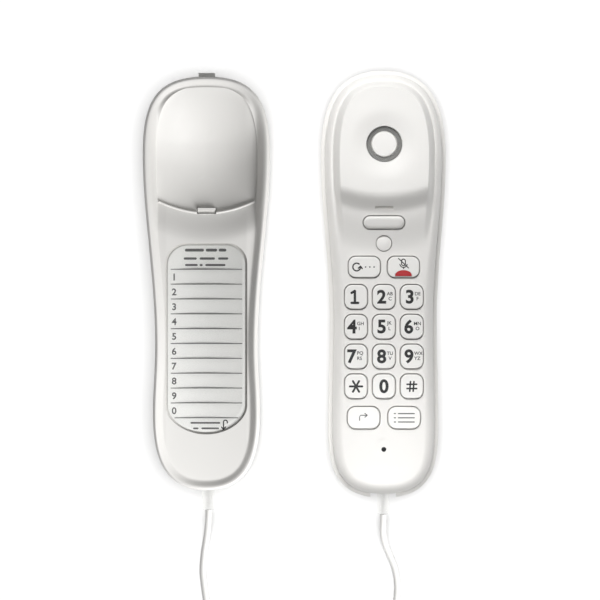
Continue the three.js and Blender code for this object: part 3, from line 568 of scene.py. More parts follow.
def tube_mesh(name, path, radius, sides):
    """A round tube along the path, with its cross-sections carried along without twist."""
    tangents = np.gradient(path, axis=0)
    tangents /= np.linalg.norm(tangents, axis=1)[:, None]
    side = np.cross(tangents[0], (0, 0, 1))
    angles = np.arange(sides) / sides * 2 * math.pi
    layers = []
    for point, tangent in zip(path, tangents):
        side = side - (side @ tangent) * tangent
        side /= np.linalg.norm(side)
        up = np.cross(tangent, side)
        layers.append(point + radius * (np.outer(np.cos(angles), side) + np.outer(np.sin(angles), up)))
    return layers_mesh(name, layers)


def make_cord():
    leading, trailing = through_points(CRADLE_TAIL, 4), through_points(HANDSET_TAIL, 4)
    path = np.concatenate([leading[:-1], coil_path(), trailing[1:]])
    cord = mesh_object("cord", tube_mesh("cord", path, CORD_RADIUS, CORD_SIDES), CORD_VINYL, 60)
    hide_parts("cradle_cord_tail", "curly_cord", "handset_cord_tail")
    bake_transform(cord, "cradle", "handset", start=LIFTED_FROM, end=LIFTED_TO)


make_cord()

# ---------------------------------------------------------------- shell surfaces

CRADLE_X, HANDSET_X = -46.2, 46.5
WALL = 2.2
GAP = 0.3
CRADLE_RING = body_outline(107.9, -108.1, (33.1, 68, 0.77), (26.6, -32.8), (27.8, -68.5, 0.54), 170)
CRADLE_SPINE = (-81, 75)
HANDSET_RING = body_outline(111.7, -112.5, (32.8, 66, 0.68), (28.1, -19), (28.9, -76, 0.62), 170)
HANDSET_SPINE = (-82, 78)
HANDSET_WAIST = 28.1

PARTING_Z = 11
LIP = 2.2
FACE_Z = 23
FACE_CROWN = 0.5
FACE_EDGE_HEIGHT = 8
FACE_EDGE_FOOT, FACE_EDGE_HEAD = 5.6, 3.6  # its width at the foot and round the ear
EAR_Y = 72.2
BUMP_HEIGHT, BUMP_HALF, BUMP_Y, BUMP_ARC = 12, 24.7, 44.4, 4.7  # its lower edge is an arc
EAR_DISH = (2.6, 19)  # depth and radius
MIC_DISH = (0, -84.2, 3.9, 0.3)  # x, y, radius and depth
BACK_EDGE, BACK_DEPTH, BACK_LIFT = 14, 9, 1.5  # of the back's rounding, and how far its ends curve up

RIM_Z = 24
RIM_DROP = 2.4  # how much lower the rim is round the foot's end
RIM_CREST, RIM_FOOT, RIM_HEAD_FOOT = 1.4, 5.2, 6.6  # where its inner slope starts and ends
RIM_ROUNDING, RIM_ROUNDING_WIDTH = 1.6, 1.2
TROUGH_Z, TROUGH_CURVE = 19, 1.3
RIDGE_Y, RIDGE_ARC, RIDGE_HALF = 37.5, 6.3, 25.6  # edge between the trough and the ear cup
DIP_DEPTH, DIP_LENGTH, DIP_END = 5, 17, (62, 98)  # how the trough falls to the ridge and climbs back
TOP_RISE, TOP_RISE_SPAN = 3.6, (72, 104)  # and how it climbs on to the rim
BEAD_RADIUS = 0.6  # along the ridge
CUP_TOP, CUP_HALF, CUP_MIDDLE, CUP_STEP, CUP_TOP_STEP, CUP_BOWL = 103, 26.5, 62, 1.2, 0.2, 6
CUP_SPINE = (58, 74)
WINDOW_TOP, WINDOW_BOTTOM, WINDOW_HALF, WINDOW_CORNER, WINDOW_ARCH = 20.7, -78.7, 21.1, 10.5, 15
WINDOW_SPINE = (-62, 9)
POCKET_DEPTH = 2.3


def bump_share(u):
    """Share of the bump's height at a distance u up from its lower edge: a steep fall, then a gentle one."""
    return 0.58 * smooth(u, -8.5, 2.5) + 0.42 * smooth(u, -29, -5)


def edge_drop(d, width, height):
    """Drop of a rounded edge, a quarter ellipse, at a distance d in from it."""
    out = 1 - np.clip(d / width, 0, 1)
    return height * (1 - np.sqrt(1 - out * out))


def handset_front(x, y, d):
    edge = FACE_EDGE_FOOT + (FACE_EDGE_HEAD - FACE_EDGE_FOOT) * smooth(y, -20, 50)
    across = (x / HANDSET_WAIST) ** 2
    face = FACE_Z - FACE_CROWN * across - edge_drop(d - LIP, edge, FACE_EDGE_HEIGHT)
    bump = BUMP_HEIGHT * smooth(d, 6, 9.8) * bump_share(y - BUMP_Y - BUMP_ARC * (x / BUMP_HALF) ** 2)
    dish_depth, dish_r = EAR_DISH
    dish = dish_depth * (1 - np.minimum(np.hypot(x, y - EAR_Y) / dish_r, 1) ** 2) ** 2
    mic_x, mic_y, mic_r, mic_depth = MIC_DISH
    dimple = mic_depth * (1 - smooth(np.hypot(x - mic_x, y - mic_y), 0.55 * mic_r, mic_r))
    return face + bump - dish - dimple


def handset_back(x, y, d):
    return edge_drop(d, BACK_EDGE, BACK_DEPTH) + BACK_LIFT * smooth(np.abs(y), 60, 111.7)


def trough_height(x):
    return TROUGH_Z + TROUGH_CURVE * (np.clip(x, -WINDOW_HALF, WINDOW_HALF) / WINDOW_HALF) ** 2


def ridge_y(x):
    return RIDGE_Y + RIDGE_ARC * (x / RIDGE_HALF) ** 2


def trough_surface(x, y):
    fall = smooth(y - ridge_y(x), -DIP_LENGTH, 2) * (1 - smooth(y, *DIP_END))
    return trough_height(x) - DIP_DEPTH * fall + TOP_RISE * smooth(y, *TOP_RISE_SPAN)


def blended(a, b, share):
    return a + (b - a) * share


def cradle_front(x, y, d):
    """Height of the cradle's front before the ear cup is cut."""
    foot = blended(RIM_FOOT, RIM_HEAD_FOOT, smooth(y, 20, 45))
    trough = blended(trough_height(x), trough_surface(x, y), smooth((d - 3) / (foot - 3), 0, 1))
    rim = RIM_Z - RIM_DROP * smooth(-y, 70, 104)
    rounding = RIM_ROUNDING * (1 - smooth(d, 0, RIM_ROUNDING_WIDTH))
    return blended(rim, trough, smooth((d - RIM_CREST) / (foot - RIM_CREST), 0, 1)) - rounding


def cup_floor(x, y):
    """Height of the ear cup's floor: a small step down from the trough and then a bowl."""
    step = blended(CUP_STEP, CUP_TOP_STEP, smooth(y, DIP_END[0], CUP_TOP))
    across = np.clip(np.abs(x) / CUP_HALF, 0, 1)
    up = np.clip((y - CUP_MIDDLE) / (CUP_TOP - CUP_MIDDLE), 0, 1)
    down = np.clip((CUP_MIDDLE - y) / (CUP_MIDDLE - ridge_y(x)), 0, 1)
    return trough_surface(x, y) - step - CUP_BOWL * (1 - across**2) * (1 - up**4) * (1 - down**2)


def insets(*spans):
    """Distances in from an outline: evenly spaced over each (start, end, count) span."""
    return np.concatenate([np.linspace(*span, endpoint=False) for span in spans])


def handset_loft(name, rings):
    return loft_mesh(name, HANDSET_RING, HANDSET_SPINE, rings, HANDSET_X)


def cradle_loft(name, rings):
    return loft_mesh(name, CRADLE_RING, CRADLE_SPINE, rings, CRADLE_X)


def rods(r, sides, low, high, spots, x):
    """Upright round bodies between two heights, at several spots of the unit whose middle is at x."""
    return [block_mesh("rod", circle(r, sides), low, high, x + px, py) for px, py in spots]


def add_piece(name, mesh, material, body, replaced=None, sharp_angle=32):
    """An object that rides on a body, in place of a CAD node and with the finish of a material slot."""
    obj = mesh_object(name, mesh, material, sharp_angle)
    if replaced:
        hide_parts(replaced)
    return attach(obj, body)


def node_box(name, margin=0.0):
    """The box round a CAD node, with a margin, as low and high millimetres in x, y and z."""
    low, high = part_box(name)
    return [(a / MM - margin, b / MM + margin) for a, b in zip(low, high)]


def bevelled(obj, width):
    """Rounds the object's sharp edges by a width in millimetres."""
    bevel = obj.modifiers.new("rounded_edges", "BEVEL")
    bevel.width = width * MM
    bevel.segments = 2
    bevel.limit_method = "ANGLE"
    bevel.angle_limit = math.radians(40)
    bevel.use_clamp_overlap = True


# ---------------------------------------------------------------- handset

KEY_GAP = 0.5
KEY_FLANGE = 0.6
KEY_EASING = 0.6  # radius of a key's upper edge
KEY_CORNER, LOWER_CORNER = 3.8, 4.2
PILL_Y, PILL_W, PILL_H, PILL_PROUD = 31.6, 21.4, 6.6, 1.4
CAP_Y, CAP_R = 20.8, 4.0
SLOT_Y, SLOT_W, SLOT_H, SLOT_FLOOR = 39.3, 9.4, 1.7, 27.6
MIC_Y, MIC_HOLE = -86.7, 1.3
RING_OUTER, RING_INNER = 9.1, 7.0
LOWER_SCREWS = [(-17, -86), (17, -86)]
SCREW_BORE, SCREW_SINK, BOSS = 1.6, 2.9, 3.6
CLEAR_Z = 45  # above everything
EAR_TOP = float(handset_front(0, EAR_Y, 30))
PLAN = (0, 0)  # a spine of no length


class Key:
    """A key's place and size in millimetres, from its CAD node."""

    def __init__(self, name):
        self.name = name
        (x0, x1), (y0, y1), (self.low, self.top) = node_box("key_" + name)
        self.x = (x0 + x1) / 2 - HANDSET_X
        self.y = (y0 + y1) / 2
        self.w = x1 - x0 - 2 * KEY_FLANGE
        self.h = y1 - y0 - 2 * KEY_FLANGE
        self.corner = LOWER_CORNER if name in ("recall", "quick_dial") else KEY_CORNER


DIGITS = ["1", "2", "3", "4", "5", "6", "7", "8", "9", "star", "0", "hash"]
KEYS = {name: Key(name) for name in ["redial", "mute", *DIGITS, "recall", "quick_dial"]}


def flared_cut(name, outline, surface, x, y, flare=0.12):
    """A cutter for a straight-sided hole, whose edge is eased where it meets a surface at that height."""
    rings = [(0, PARTING_Z - 1), (0, surface - flare), (-flare, surface), (-flare - 0.5, surface + 3)]
    return loft_mesh(name, outline, PLAN, rings, x, y)


def make_front_shell():
    steps = LIP + insets((0, 1, 7), (1, 5.8, 12), (5.8, 12, 14), (12, 31, 15))
    outer = handset_loft("handset_face", [(LIP, PARTING_Z + GAP), *[(d, handset_front) for d in steps]])

    def under(x, y, d):
        return handset_front(x, y, d - WALL) - WALL

    inner = LIP + WALL
    rings = [(inner + d, under) for d in (0, 0.8, 1.8, 3, 4.4, 5.8, 8, 11, 16)]
    hollow = handset_loft("hollow", [(inner, PARTING_Z - 1), *rings])
    cuts = []
    for key in KEYS.values():
        outline = rounded_outline(key.w + 2 * KEY_GAP, key.h + 2 * KEY_GAP, key.corner + KEY_GAP)
        level = float(handset_front(key.x, key.y, 15)) - 0.05
        cuts.append(flared_cut("key_hole", outline, level, HANDSET_X + key.x, key.y))
    pill = rounded_outline(PILL_W + 2 * KEY_GAP, PILL_H + 2 * KEY_GAP, PILL_H / 2 + KEY_GAP)
    slot = rounded_outline(SLOT_W, SLOT_H, 0.3, 3)
    pad = rounded_outline(SLOT_W + 3, SLOT_H + 3, 0.5, 3)
    cuts += [
        block_mesh("pill_hole", pill, PARTING_Z, CLEAR_Z, HANDSET_X, PILL_Y),
        *rods(RING_OUTER + GAP, 72, PARTING_Z, CLEAR_Z, [(0, EAR_Y)], HANDSET_X),
        block_mesh("slot", slot, SLOT_FLOOR, CLEAR_Z, HANDSET_X, SLOT_Y),
        *rods(MIC_HOLE, 32, PARTING_Z, CLEAR_Z, [(0, MIC_Y)], HANDSET_X),
        *rods(CAP_R + GAP, 48, 18.6, CLEAR_Z, [(0, CAP_Y)], HANDSET_X),
        *rods(SCREW_BORE + 0.2, 24, PARTING_Z, CLEAR_Z, [(0, CAP_Y)], HANDSET_X),
        *rods(SCREW_BORE, 24, PARTING_Z, 18, LOWER_SCREWS, HANDSET_X),
    ]
    bosses = [
        block_mesh("slot_pad", pad, 25.4, SLOT_FLOOR + GAP, HANDSET_X, SLOT_Y),
        *rods(1.5 * BOSS, 48, PARTING_Z + 3, FACE_Z - 0.5, [(0, CAP_Y)], HANDSET_X),
        *rods(BOSS, 48, PARTING_Z + 3, FACE_Z - 2, LOWER_SCREWS, HANDSET_X),
    ]
    shell = carved(carved(outer, [hollow]), cuts, bosses)
    add_piece("handset_front", shell, SHELL_WHITE, "handset", "handset_front_shell")


def make_back_shell():
    rings = [(d, handset_back) for d in (*insets((BACK_EDGE, 0, 22)), 0)]
    lip = [(0, PARTING_Z - 0.4), (0.12, PARTING_Z - 0.12), (0.4, PARTING_Z)]
    outer = handset_loft("handset_back", rings + lip)

    def floor(x, y, d):
        return handset_back(x, y, d - WALL) + WALL

    rings = [(d, floor) for d in (16, 13, 10, 7.5, 6, 4.6, 3.4, 2.7, WALL)]
    hollow = handset_loft("hollow", [*rings, (WALL, PARTING_Z + 1)])
    (x0, x1), _, (low, _) = node_box("handset_cord_jack", GAP)
    half = (x1 - x0) / 2
    mouth = box_mesh("mouth", -half, half, -114, -94, low, 20, HANDSET_X)
    spots = [(0, CAP_Y), *LOWER_SCREWS]
    posts = rods(BOSS, 48, 1.8, PARTING_Z + 2.6, spots, HANDSET_X)
    bores = rods(SCREW_BORE, 24, 4, 20, spots, HANDSET_X)
    sinks = rods(SCREW_SINK, 40, -1, 4.6, LOWER_SCREWS, HANDSET_X)
    shell = carved(carved(outer, [hollow]), [mouth, *bores, *sinks], posts)
    add_piece("handset_back", shell, SHELL_WHITE, "handset", "handset_back_shell")


def make_earpiece():
    under = EAR_TOP - WALL - GAP
    r, flange, thickness, edge = RING_INNER - GAP, 12.4, 1.4, 0.9
    holes = rods(0.8, 20, under - 3, under + 1, circle(8.2, 8) + (0, EAR_Y), HANDSET_X)
    profile = [(0, under - thickness), (flange, under - thickness), (flange, under), (r, under)]
    profile.append((r, EAR_TOP - edge))
    for a in np.linspace(0.2, 1.57, 7):
        profile.append((r - edge + edge * math.cos(a), EAR_TOP - edge + edge * math.sin(a)))
    cap = carved(turned_mesh("cap", [*profile, (0, EAR_TOP)], HANDSET_X, EAR_Y, 72), holes)
    add_piece("earpiece_centre", cap, SHELL_WHITE, "handset", "earpiece_cap", 50)
    low, high = node_box("earpiece_mesh_ring")[2]
    ring = [(RING_INNER, low), (RING_OUTER, low), (RING_OUTER, high), (RING_INNER, high)]
    mesh = turned_mesh("ring", [*ring, ring[0]], HANDSET_X, EAR_Y, 72)
    add_piece("sound_ring", mesh, SOUND_MESH, "handset", "earpiece_mesh_ring")


def make_pill():
    """The hook switch's plunger, which stands proud of the slope below the ear."""
    low = node_box("hook_switch_plunger")[2][0]
    across = rounded_outline(PILL_H, PILL_W, PILL_H / 2, 16)

    def top(x, y, d):
        face = handset_front(y, PILL_Y - x, np.full(np.shape(x), 30.0))
        return face + PILL_PROUD - edge_drop(d, 1.8, 1.2)

    spine = (-(PILL_W - PILL_H) / 2, (PILL_W - PILL_H) / 2)
    flange = [(-1, low), (-1, low + 1.1), (0, low + 1.1)]
    rings = [(d, top) for d in (0, 0.1, 0.25, 0.5, 0.9, 1.4, 1.8, 2.6)]
    mesh = loft_mesh("pill", across, spine, flange + rings)
    for v in mesh.vertices:
        x, y, z = v.co
        v.co = (HANDSET_X * MM + y, PILL_Y * MM - x, z)
    add_piece("hook_plunger", mesh, SHELL_WHITE, "hook_switch", "hook_switch_plunger", 50)


def make_plunger_spring():
    """The spring under the plunger."""
    (x0, x1), (y0, y1), (z0, z1) = node_box("hook_switch_spring")
    wire, turns = 0.25, 2.5
    x, y = (x0 + x1) / 2, (y0 + y1) / 2
    radius = (y1 - y0) / 2 - wire
    angles = np.linspace(0, 2 * math.pi * turns, 61)
    rise = np.linspace(z0 + wire, z1 - wire, len(angles))
    path = np.column_stack([x + radius * np.cos(angles), y + radius * np.sin(angles), rise])
    mesh = tube_mesh("spring", path, wire, 12)
    spring = add_piece("plunger_spring", mesh, STEEL, "handset", "hook_switch_spring")
    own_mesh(spring)


def make_mic_felt():
    """The black felt disc between the capsule and the hole in the face."""
    high = node_box("microphone_capsule")[2][1]
    mesh = block_mesh("felt", circle(4.6), high - 0.02, high + 0.25, HANDSET_X, MIC_Y)
    add_piece("mic_felt", mesh, RUBBER, "handset", sharp_angle=50)


def make_screw_cap():
    low, high = node_box("screw_cap")[2]
    edge = [(CAP_R, high - 0.3), (CAP_R - 0.1, high - 0.1), (CAP_R - 0.3, high)]
    mesh = turned_mesh("disc", [(0, low), (CAP_R, low), *edge, (0, high)], HANDSET_X, CAP_Y, 64)
    add_piece("screw_cap_disc", mesh, SHELL_WHITE, "handset", "screw_cap", 50)


# ---------------------------------------------------------------- keys and legends

LENS_W, LENS_H, LENS_FIT = 4.4, 3.2, 0.15  # half width, height and clearance of the mute light
LEGEND_HEIGHT = 0.05  # thickness of printed ink
DIGIT_TEXT, LETTER_TEXT = 9.6, 2.5
# How far each digit's middle stands off its key's middle, and the two rows of small letters beside it.
DIGIT_LEGENDS = {
    "2": (-1.2, "AB C"),
    "3": (-1.1, "DE F"),
    "4": (-2.1, "GH I"),
    "5": (-1.2, "JK L"),
    "6": (-1.6, "MN O"),
    "7": (-2.1, "PQ RS"),
    "8": (-1.2, "TU V"),
    "9": (-1.5, "WX YZ"),
    "0": (0, ""),
}


def make_key(key):
    r, flange_top = KEY_EASING, key.low + 0.7
    rings = [(-KEY_FLANGE, key.low), (-KEY_FLANGE, flange_top), (0, flange_top)]
    for a in np.linspace(0, math.pi / 2, 7):
        rings.append((r - r * math.cos(a), key.top - r + r * math.sin(a)))
    rings.append((1.4, key.top))
    outline = rounded_outline(key.w, key.h, key.corner)
    mesh = loft_mesh("key", outline, PLAN, rings, HANDSET_X + key.x, key.y)
    if key.name == "mute":
        mesh = carved(mesh, [lens_mesh(LENS_FIT, key, key.top + 1)])
    body, node = "button_" + key.name, "key_" + key.name
    add_piece("key_cap_" + key.name, mesh, KEY_WHITE, body, node, 50)


def lens_mesh(margin, key, top):
    """The mute light's half-elliptical lens, which stands on the key's lower edge."""
    angles = np.linspace(0, math.pi, 33)
    rise = (LENS_H + margin) * np.sin(angles) ** 0.8
    outline = np.column_stack([(LENS_W + margin) * np.cos(angles), rise])
    base = key.y - key.h / 2 + KEY_EASING - margin
    low = key.top - 0.8 - (GAP if margin > 0 else 0)
    return block_mesh("lens", outline, low, top, HANDSET_X + key.x, base)


def ink_strokes(name, strokes, x, y, z, material, body, width=0.5, steps=10):
    """Lines of ink: each stroke is a list of points, drawn with round ends at that width."""
    meshes = []
    for k, stroke in enumerate(strokes):
        points = np.array(stroke, float)
        ahead = np.arctan2(*(points[-1] - points[-2])[::-1])
        behind = np.arctan2(*(points[0] - points[1])[::-1])
        tangents = np.gradient(points, axis=0)
        tangents /= np.linalg.norm(tangents, axis=1)[:, None]
        sides = np.column_stack([tangents[:, 1], -tangents[:, 0]]) * width / 2
        half = math.pi / 2
        outline = np.concatenate([
            (points + sides)[1:-1],
            arc(*points[-1], width / 2, ahead - half, ahead + half, steps),
            (points - sides)[1:-1][::-1],
            arc(*points[0], width / 2, behind - half, behind + half, steps),
        ])
        lift = 0.01 * k  # crossing strokes don't share a face
        meshes.append(block_mesh("stroke", outline, z - 0.02, z + LEGEND_HEIGHT + lift, x, y))
    return add_piece(name, joined_meshes(name, meshes), material, body)


def ink_text(name, text, size, x, y, z, material, body, weight=0.0, align="CENTER"):
    """Printed characters, centred at (x, y) on a surface at height z."""
    curve = bpy.data.curves.new(name, "FONT")
    curve.body = text
    curve.size = size * MM
    curve.align_x = align
    curve.align_y = "CENTER"
    curve.extrude = LEGEND_HEIGHT / 2 * MM
    curve.offset = weight * MM
    curve.resolution_u = 6
    holder = bpy.data.objects.new(name, curve)
    bpy.context.scene.collection.objects.link(holder)
    mesh = evaluated_mesh(holder)
    bpy.data.objects.remove(holder)
    low, high = (f([v.co.y for v in mesh.vertices]) for f in (min, max))
    left, right = (f([v.co.x for v in mesh.vertices]) for f in (min, max))
    drop = (low + high) / 2
    shift = (left + right) / 2 if align == "CENTER" else left
    for v in mesh.vertices:
        v.co.x += x * MM - shift
        v.co.y += y * MM - drop
        v.co.z += z * MM
    shape = bmesh.new()
    shape.from_mesh(mesh)
    bmesh.ops.remove_doubles(shape, verts=shape.verts, dist=1e-6)
    bmesh.ops.recalc_face_normals(shape, faces=shape.faces)
    shape.to_mesh(mesh)
    shape.free()
    return add_piece(name, mesh, material, body)


def key_strokes(name, strokes, width, material=INK, dx=0.0, dy=0.0):
    """Lines of ink on a key, drawn about a point that stands off the key's middle."""
    key = KEYS[name]
    place = HANDSET_X + key.x + dx, key.y + dy, key.top
    ink_strokes("print_" + name, strokes, *place, material, "button_" + name, width)


def turn(cx, cy, r, start, end, steps=24):
    return [tuple(p) for p in arc(cx, cy, r, math.radians(start), math.radians(end), steps)]


def make_legends():
    for digit, (offset, letters) in DIGIT_LEGENDS.items():
        key = KEYS[digit]
        body = "button_" + digit
        x, y = HANDSET_X + key.x + offset, key.y + 0.1
        ink_text("print_" + digit, digit, DIGIT_TEXT, x, y, key.top, INK, body, 0.3)
        if letters:
            upper, lower = letters.split()
            left = HANDSET_X + key.x + offset + 2.7
            for row, (part, rise) in enumerate(((upper, 1.6), (lower, -1.0))):
                shift = 0.9 * (len(part) == 1)
                name = f"print_letters_{digit}_{row}"
                ink_text(name, part, LETTER_TEXT, left + shift, y + rise, key.top, INK, body, 0.04, "LEFT")
    flag = [[(0.1, 3.1), (0.1, -3.1)], [(0, 3.1), (-1.6, 2.1)], [(-1.6, -3.1), (1.8, -3.1)]]
    key_strokes("1", flag, 1.25, dx=-0.7)
    tips = [(3.2 * math.cos(a), 3.2 * math.sin(a)) for a in map(math.radians, (0, 60, 120))]
    key_strokes("star", [[(x, y), (-x, -y)] for x, y in tips], 1.05)
    bars = [[(-2.5, y), (2.5, y)] for y in (1.1, -1.1)]
    bars += [[(-1.1, -2.5), (-0.7, 2.5)], [(0.7, -2.5), (1.1, 2.5)]]
    key_strokes("hash", bars, 0.85)

    again = [turn(-3.4, 0, 2.0, 50, 350), [(-1.4, 0.4), (-2.5, -0.6)], [(-1.4, 0.4), (-0.5, -0.8)]]
    dashes = [[(x, 0), (x + 0.1, 0)] for x in (1.2, 3.4, 5.6)]
    key_strokes("redial", again + dashes, 0.7, dx=-0.6)

    capsule = [turn(0, 1.2, 1.0, 0, 180) + turn(0, -0.2, 1.0, 180, 360) + [(1.0, 1.2)]]
    stand = [turn(0, -0.2, 1.9, 190, 350), [(0, -2.1), (0, -2.7)], [(-2.6, 2.6), (2.6, -2.4)]]
    key_strokes("mute", capsule + stand, 0.5, dy=1.9)

    arrow = [[(-2.1, -1.3), (-2.1, 0.4), (-1.6, 1.3), (1.9, 1.3)]]
    arrow += [[(1.9, 1.3), (0.7, 2.3)], [(1.9, 1.3), (0.7, 0.3)]]
    key_strokes("recall", arrow, 0.5, GREY_INK)

    rows = []
    for y in (2.2, 0.0, -2.2):
        rows += [[(-5.2, y), (-4.6, y)], [(-3, y), (5.2, y)]]
    key_strokes("quick_dial", rows, 0.6, GREY_INK)


make_front_shell()
make_back_shell()
make_earpiece()
make_pill()
make_plunger_spring()
make_screw_cap()
make_mic_felt()
for each in KEYS.values():
    make_key(each)
lens = lens_mesh(-LENS_FIT, KEYS["mute"], KEYS["mute"].top)
add_piece("mute_light", lens, RED_LENS, "button_mute", "mute_lens", 50)
make_legends()

# ---------------------------------------------------------------- cradle

PLATE_LOW, PLATE_HIGH, PLATE_INSET = 1.5, 4, 2.6
PLATE_SCREWS = [(-17, 27), (17, 27), (0, -84)]
KEYHOLES = [30, -69]


def window_outline(margin, count):
    """The ring round the dial-list window: round shoulders above, an arch below."""
    half, top, bottom = WINDOW_HALF + margin, WINDOW_TOP + margin, WINDOW_BOTTOM - margin
    arch_top = WINDOW_BOTTOM + WINDOW_ARCH
    points = np.concatenate([
        [(0, top)],
        arc(half - WINDOW_CORNER, top - WINDOW_CORNER, WINDOW_CORNER, math.pi / 2, 0, 24),
        bezier((half, arch_top), (half, arch_top - 0.5 * WINDOW_ARCH), (0.55 * half, bottom), (0, bottom)),
    ])
    return mirrored(evenly(points, count))


def pocket_floor(x):
    return trough_height(x) - POCKET_DEPTH


def cup_outline(margin, count):
    """The ring round the ear cup: the head's shape inside the rim, closed below by the ridge."""
    half, top, end_x = CUP_HALF + margin, CUP_TOP + margin, RIDGE_HALF + margin
    end_y = ridge_y(RIDGE_HALF) - margin
    head_y = 68
    low_y = RIDGE_Y - margin
    end, low, handle = (np.array(p) for p in ((end_x, end_y), (0, low_y), (end_x / 2, low_y)))
    upper, lower = blended(head_y, end_y, 0.4), blended(head_y, end_y, 0.7)
    points = np.concatenate([
        bezier((0, top), (0.77 * half, top), (half, blended(head_y, top, 0.7)), (half, head_y)),
        bezier((half, head_y), (half, upper), (half, lower), end)[1:],
        bezier(end, blended(end, handle, 2 / 3), blended(low, handle, 2 / 3), low)[1:],
    ])
    return mirrored(evenly(points, count))


def cup_mesh(name, margin, thickness, steps):
    """The ear cup as a body: its underside is the cup's floor, thickness below it."""

    def under(x, y, _):
        return cup_floor(x, y) - thickness

    rings = [*[(d, under) for d in steps], (0, under), (0, RIM_Z + 2)]
    return loft_mesh(name, cup_outline(margin, 130), CUP_SPINE, rings, CRADLE_X)


def ridge_bead():
    reach = RIDGE_HALF - BEAD_RADIUS
    x = np.linspace(-reach, reach, 81)
    y = ridge_y(x) - BEAD_RADIUS
    path = np.column_stack([x + CRADLE_X, y, trough_surface(x, y)])
    return tube_mesh("bead", path, BEAD_RADIUS, 16)


def make_cradle_shell():
    steps = insets((0, 1.4, 8), (1.4, 6.6, 18), (6.6, 15, 14), (15, 33, 16))
    outer = cradle_loft("cradle", [(0, PLATE_LOW), *[(d, cradle_front) for d in steps]])

    def under(x, y, d):
        return cradle_front(x, y, d) - blended(4.4, WALL, smooth(y, 24, 34))

    rings = [(WALL, PLATE_LOW - 1), (WALL, lambda x, y, _: under(x, y, WALL))]
    rings += [(d, lambda x, y, at: under(x, y, at + WALL - 0.4)) for d in (3.9, 5.2, 7, 9, 11, 14, 20)]
    hollow = cradle_loft("hollow", rings)

    (hx0, hx1), (hy0, hy1), _ = node_box("retaining_hook", GAP)
    (sx0, sx1), _, (sz0, sz1) = node_box("ringer_switch_knob", GAP)
    (bx0, bx1), (by0, by1), (bz0, bz1) = node_box("ringer_switch_body", GAP)
    rings = [(d, lambda x, y, _: pocket_floor(x)) for d in (18, 12, 6, 0)]
    rings.append((0, RIM_Z + 2))
    pocket = loft_mesh("pocket", window_outline(GAP, 90), WINDOW_SPINE, rings, CRADLE_X)
    travel = 3
    cuts = [
        cup_mesh("cup", 0, 0, (25, 21, 18, 15, 12.5, 10, 8, 6, 4.5, 3, 1.8, 0.8)),
        pocket,
        box_mesh("hook_slot", hx0, hx1, hy0, hy1, 5, RIM_Z),
        box_mesh("switch_slot", sx0 - travel, sx1 + travel, 102, 112, sz0, sz1),
        box_mesh("switch_room", bx0, bx1, by0, by1, bz0, bz1),
        box_mesh("cord_mouth", -4.4, 4.4, -109.1, -105.1, 4.6, 12.6, CRADLE_X),
        *rods(SCREW_BORE, 24, PLATE_LOW, 12.5, PLATE_SCREWS, CRADLE_X),
    ]
    walls = cup_mesh("cup_walls", WALL, WALL, (19, 13, 8, 4, 1.5))
    walls = carved(walls, commons=[outer.copy()])
    bosses = rods(BOSS, 48, PLATE_HIGH + GAP, TROUGH_Z - 4, PLATE_SCREWS, CRADLE_X)
    shell = carved(carved(outer, [hollow]), cuts, [walls, ridge_bead(), *bosses])
    add_piece("cradle_shell", shell, SHELL_WHITE, "cradle", "cradle_top_shell")


def make_back_plate():
    edge = 0.4
    rings = [(20, PLATE_LOW), (PLATE_INSET + edge, PLATE_LOW), (PLATE_INSET, PLATE_LOW + edge)]
    rings += [(PLATE_INSET, PLATE_HIGH), (20, PLATE_HIGH)]
    cuts = []
    for y in KEYHOLES:
        cuts += rods(4.4, 48, 0, 6, [(0, y)], CRADLE_X)
        cuts.append(box_mesh("keyhole_slot", -2.1, 2.1, y, y + 8, 0, 6, CRADLE_X))
    for spot in PLATE_SCREWS:
        cuts += rods(SCREW_BORE + 0.2, 24, 0, 6, [spot], CRADLE_X)
        cuts += rods(3, 40, 0, PLATE_LOW + 1.7, [spot], CRADLE_X)
    cuts.append(box_mesh("jack_opening", -5.2, 5.2, -24, -15, 0, 6, CRADLE_X))
    plate = carved(cradle_loft("plate", rings), cuts)
    add_piece("cradle_plate", plate, GREY_PLASTIC, "cradle", "cradle_back_plate")


def make_feet():
    edge = 0.3
    for k in range(1, 5):
        name = f"rubber_foot_{k}"
        (x0, x1), (y0, y1), (z0, z1) = node_box(name)
        r = (x1 - x0) / 2
        profile = [(0, z0), (r - 1.2, z0), (r - 1.0, z0 + 0.15), (r - 0.8, z0)]
        profile += [(r - edge, z0), (r, z0 + edge), (r, z1), (0, z1)]
        mesh = turned_mesh(name, profile, (x0 + x1) / 2, (y0 + y1) / 2, 40)
        add_piece(f"foot_pad_{k}", mesh, RUBBER, "cradle", name)


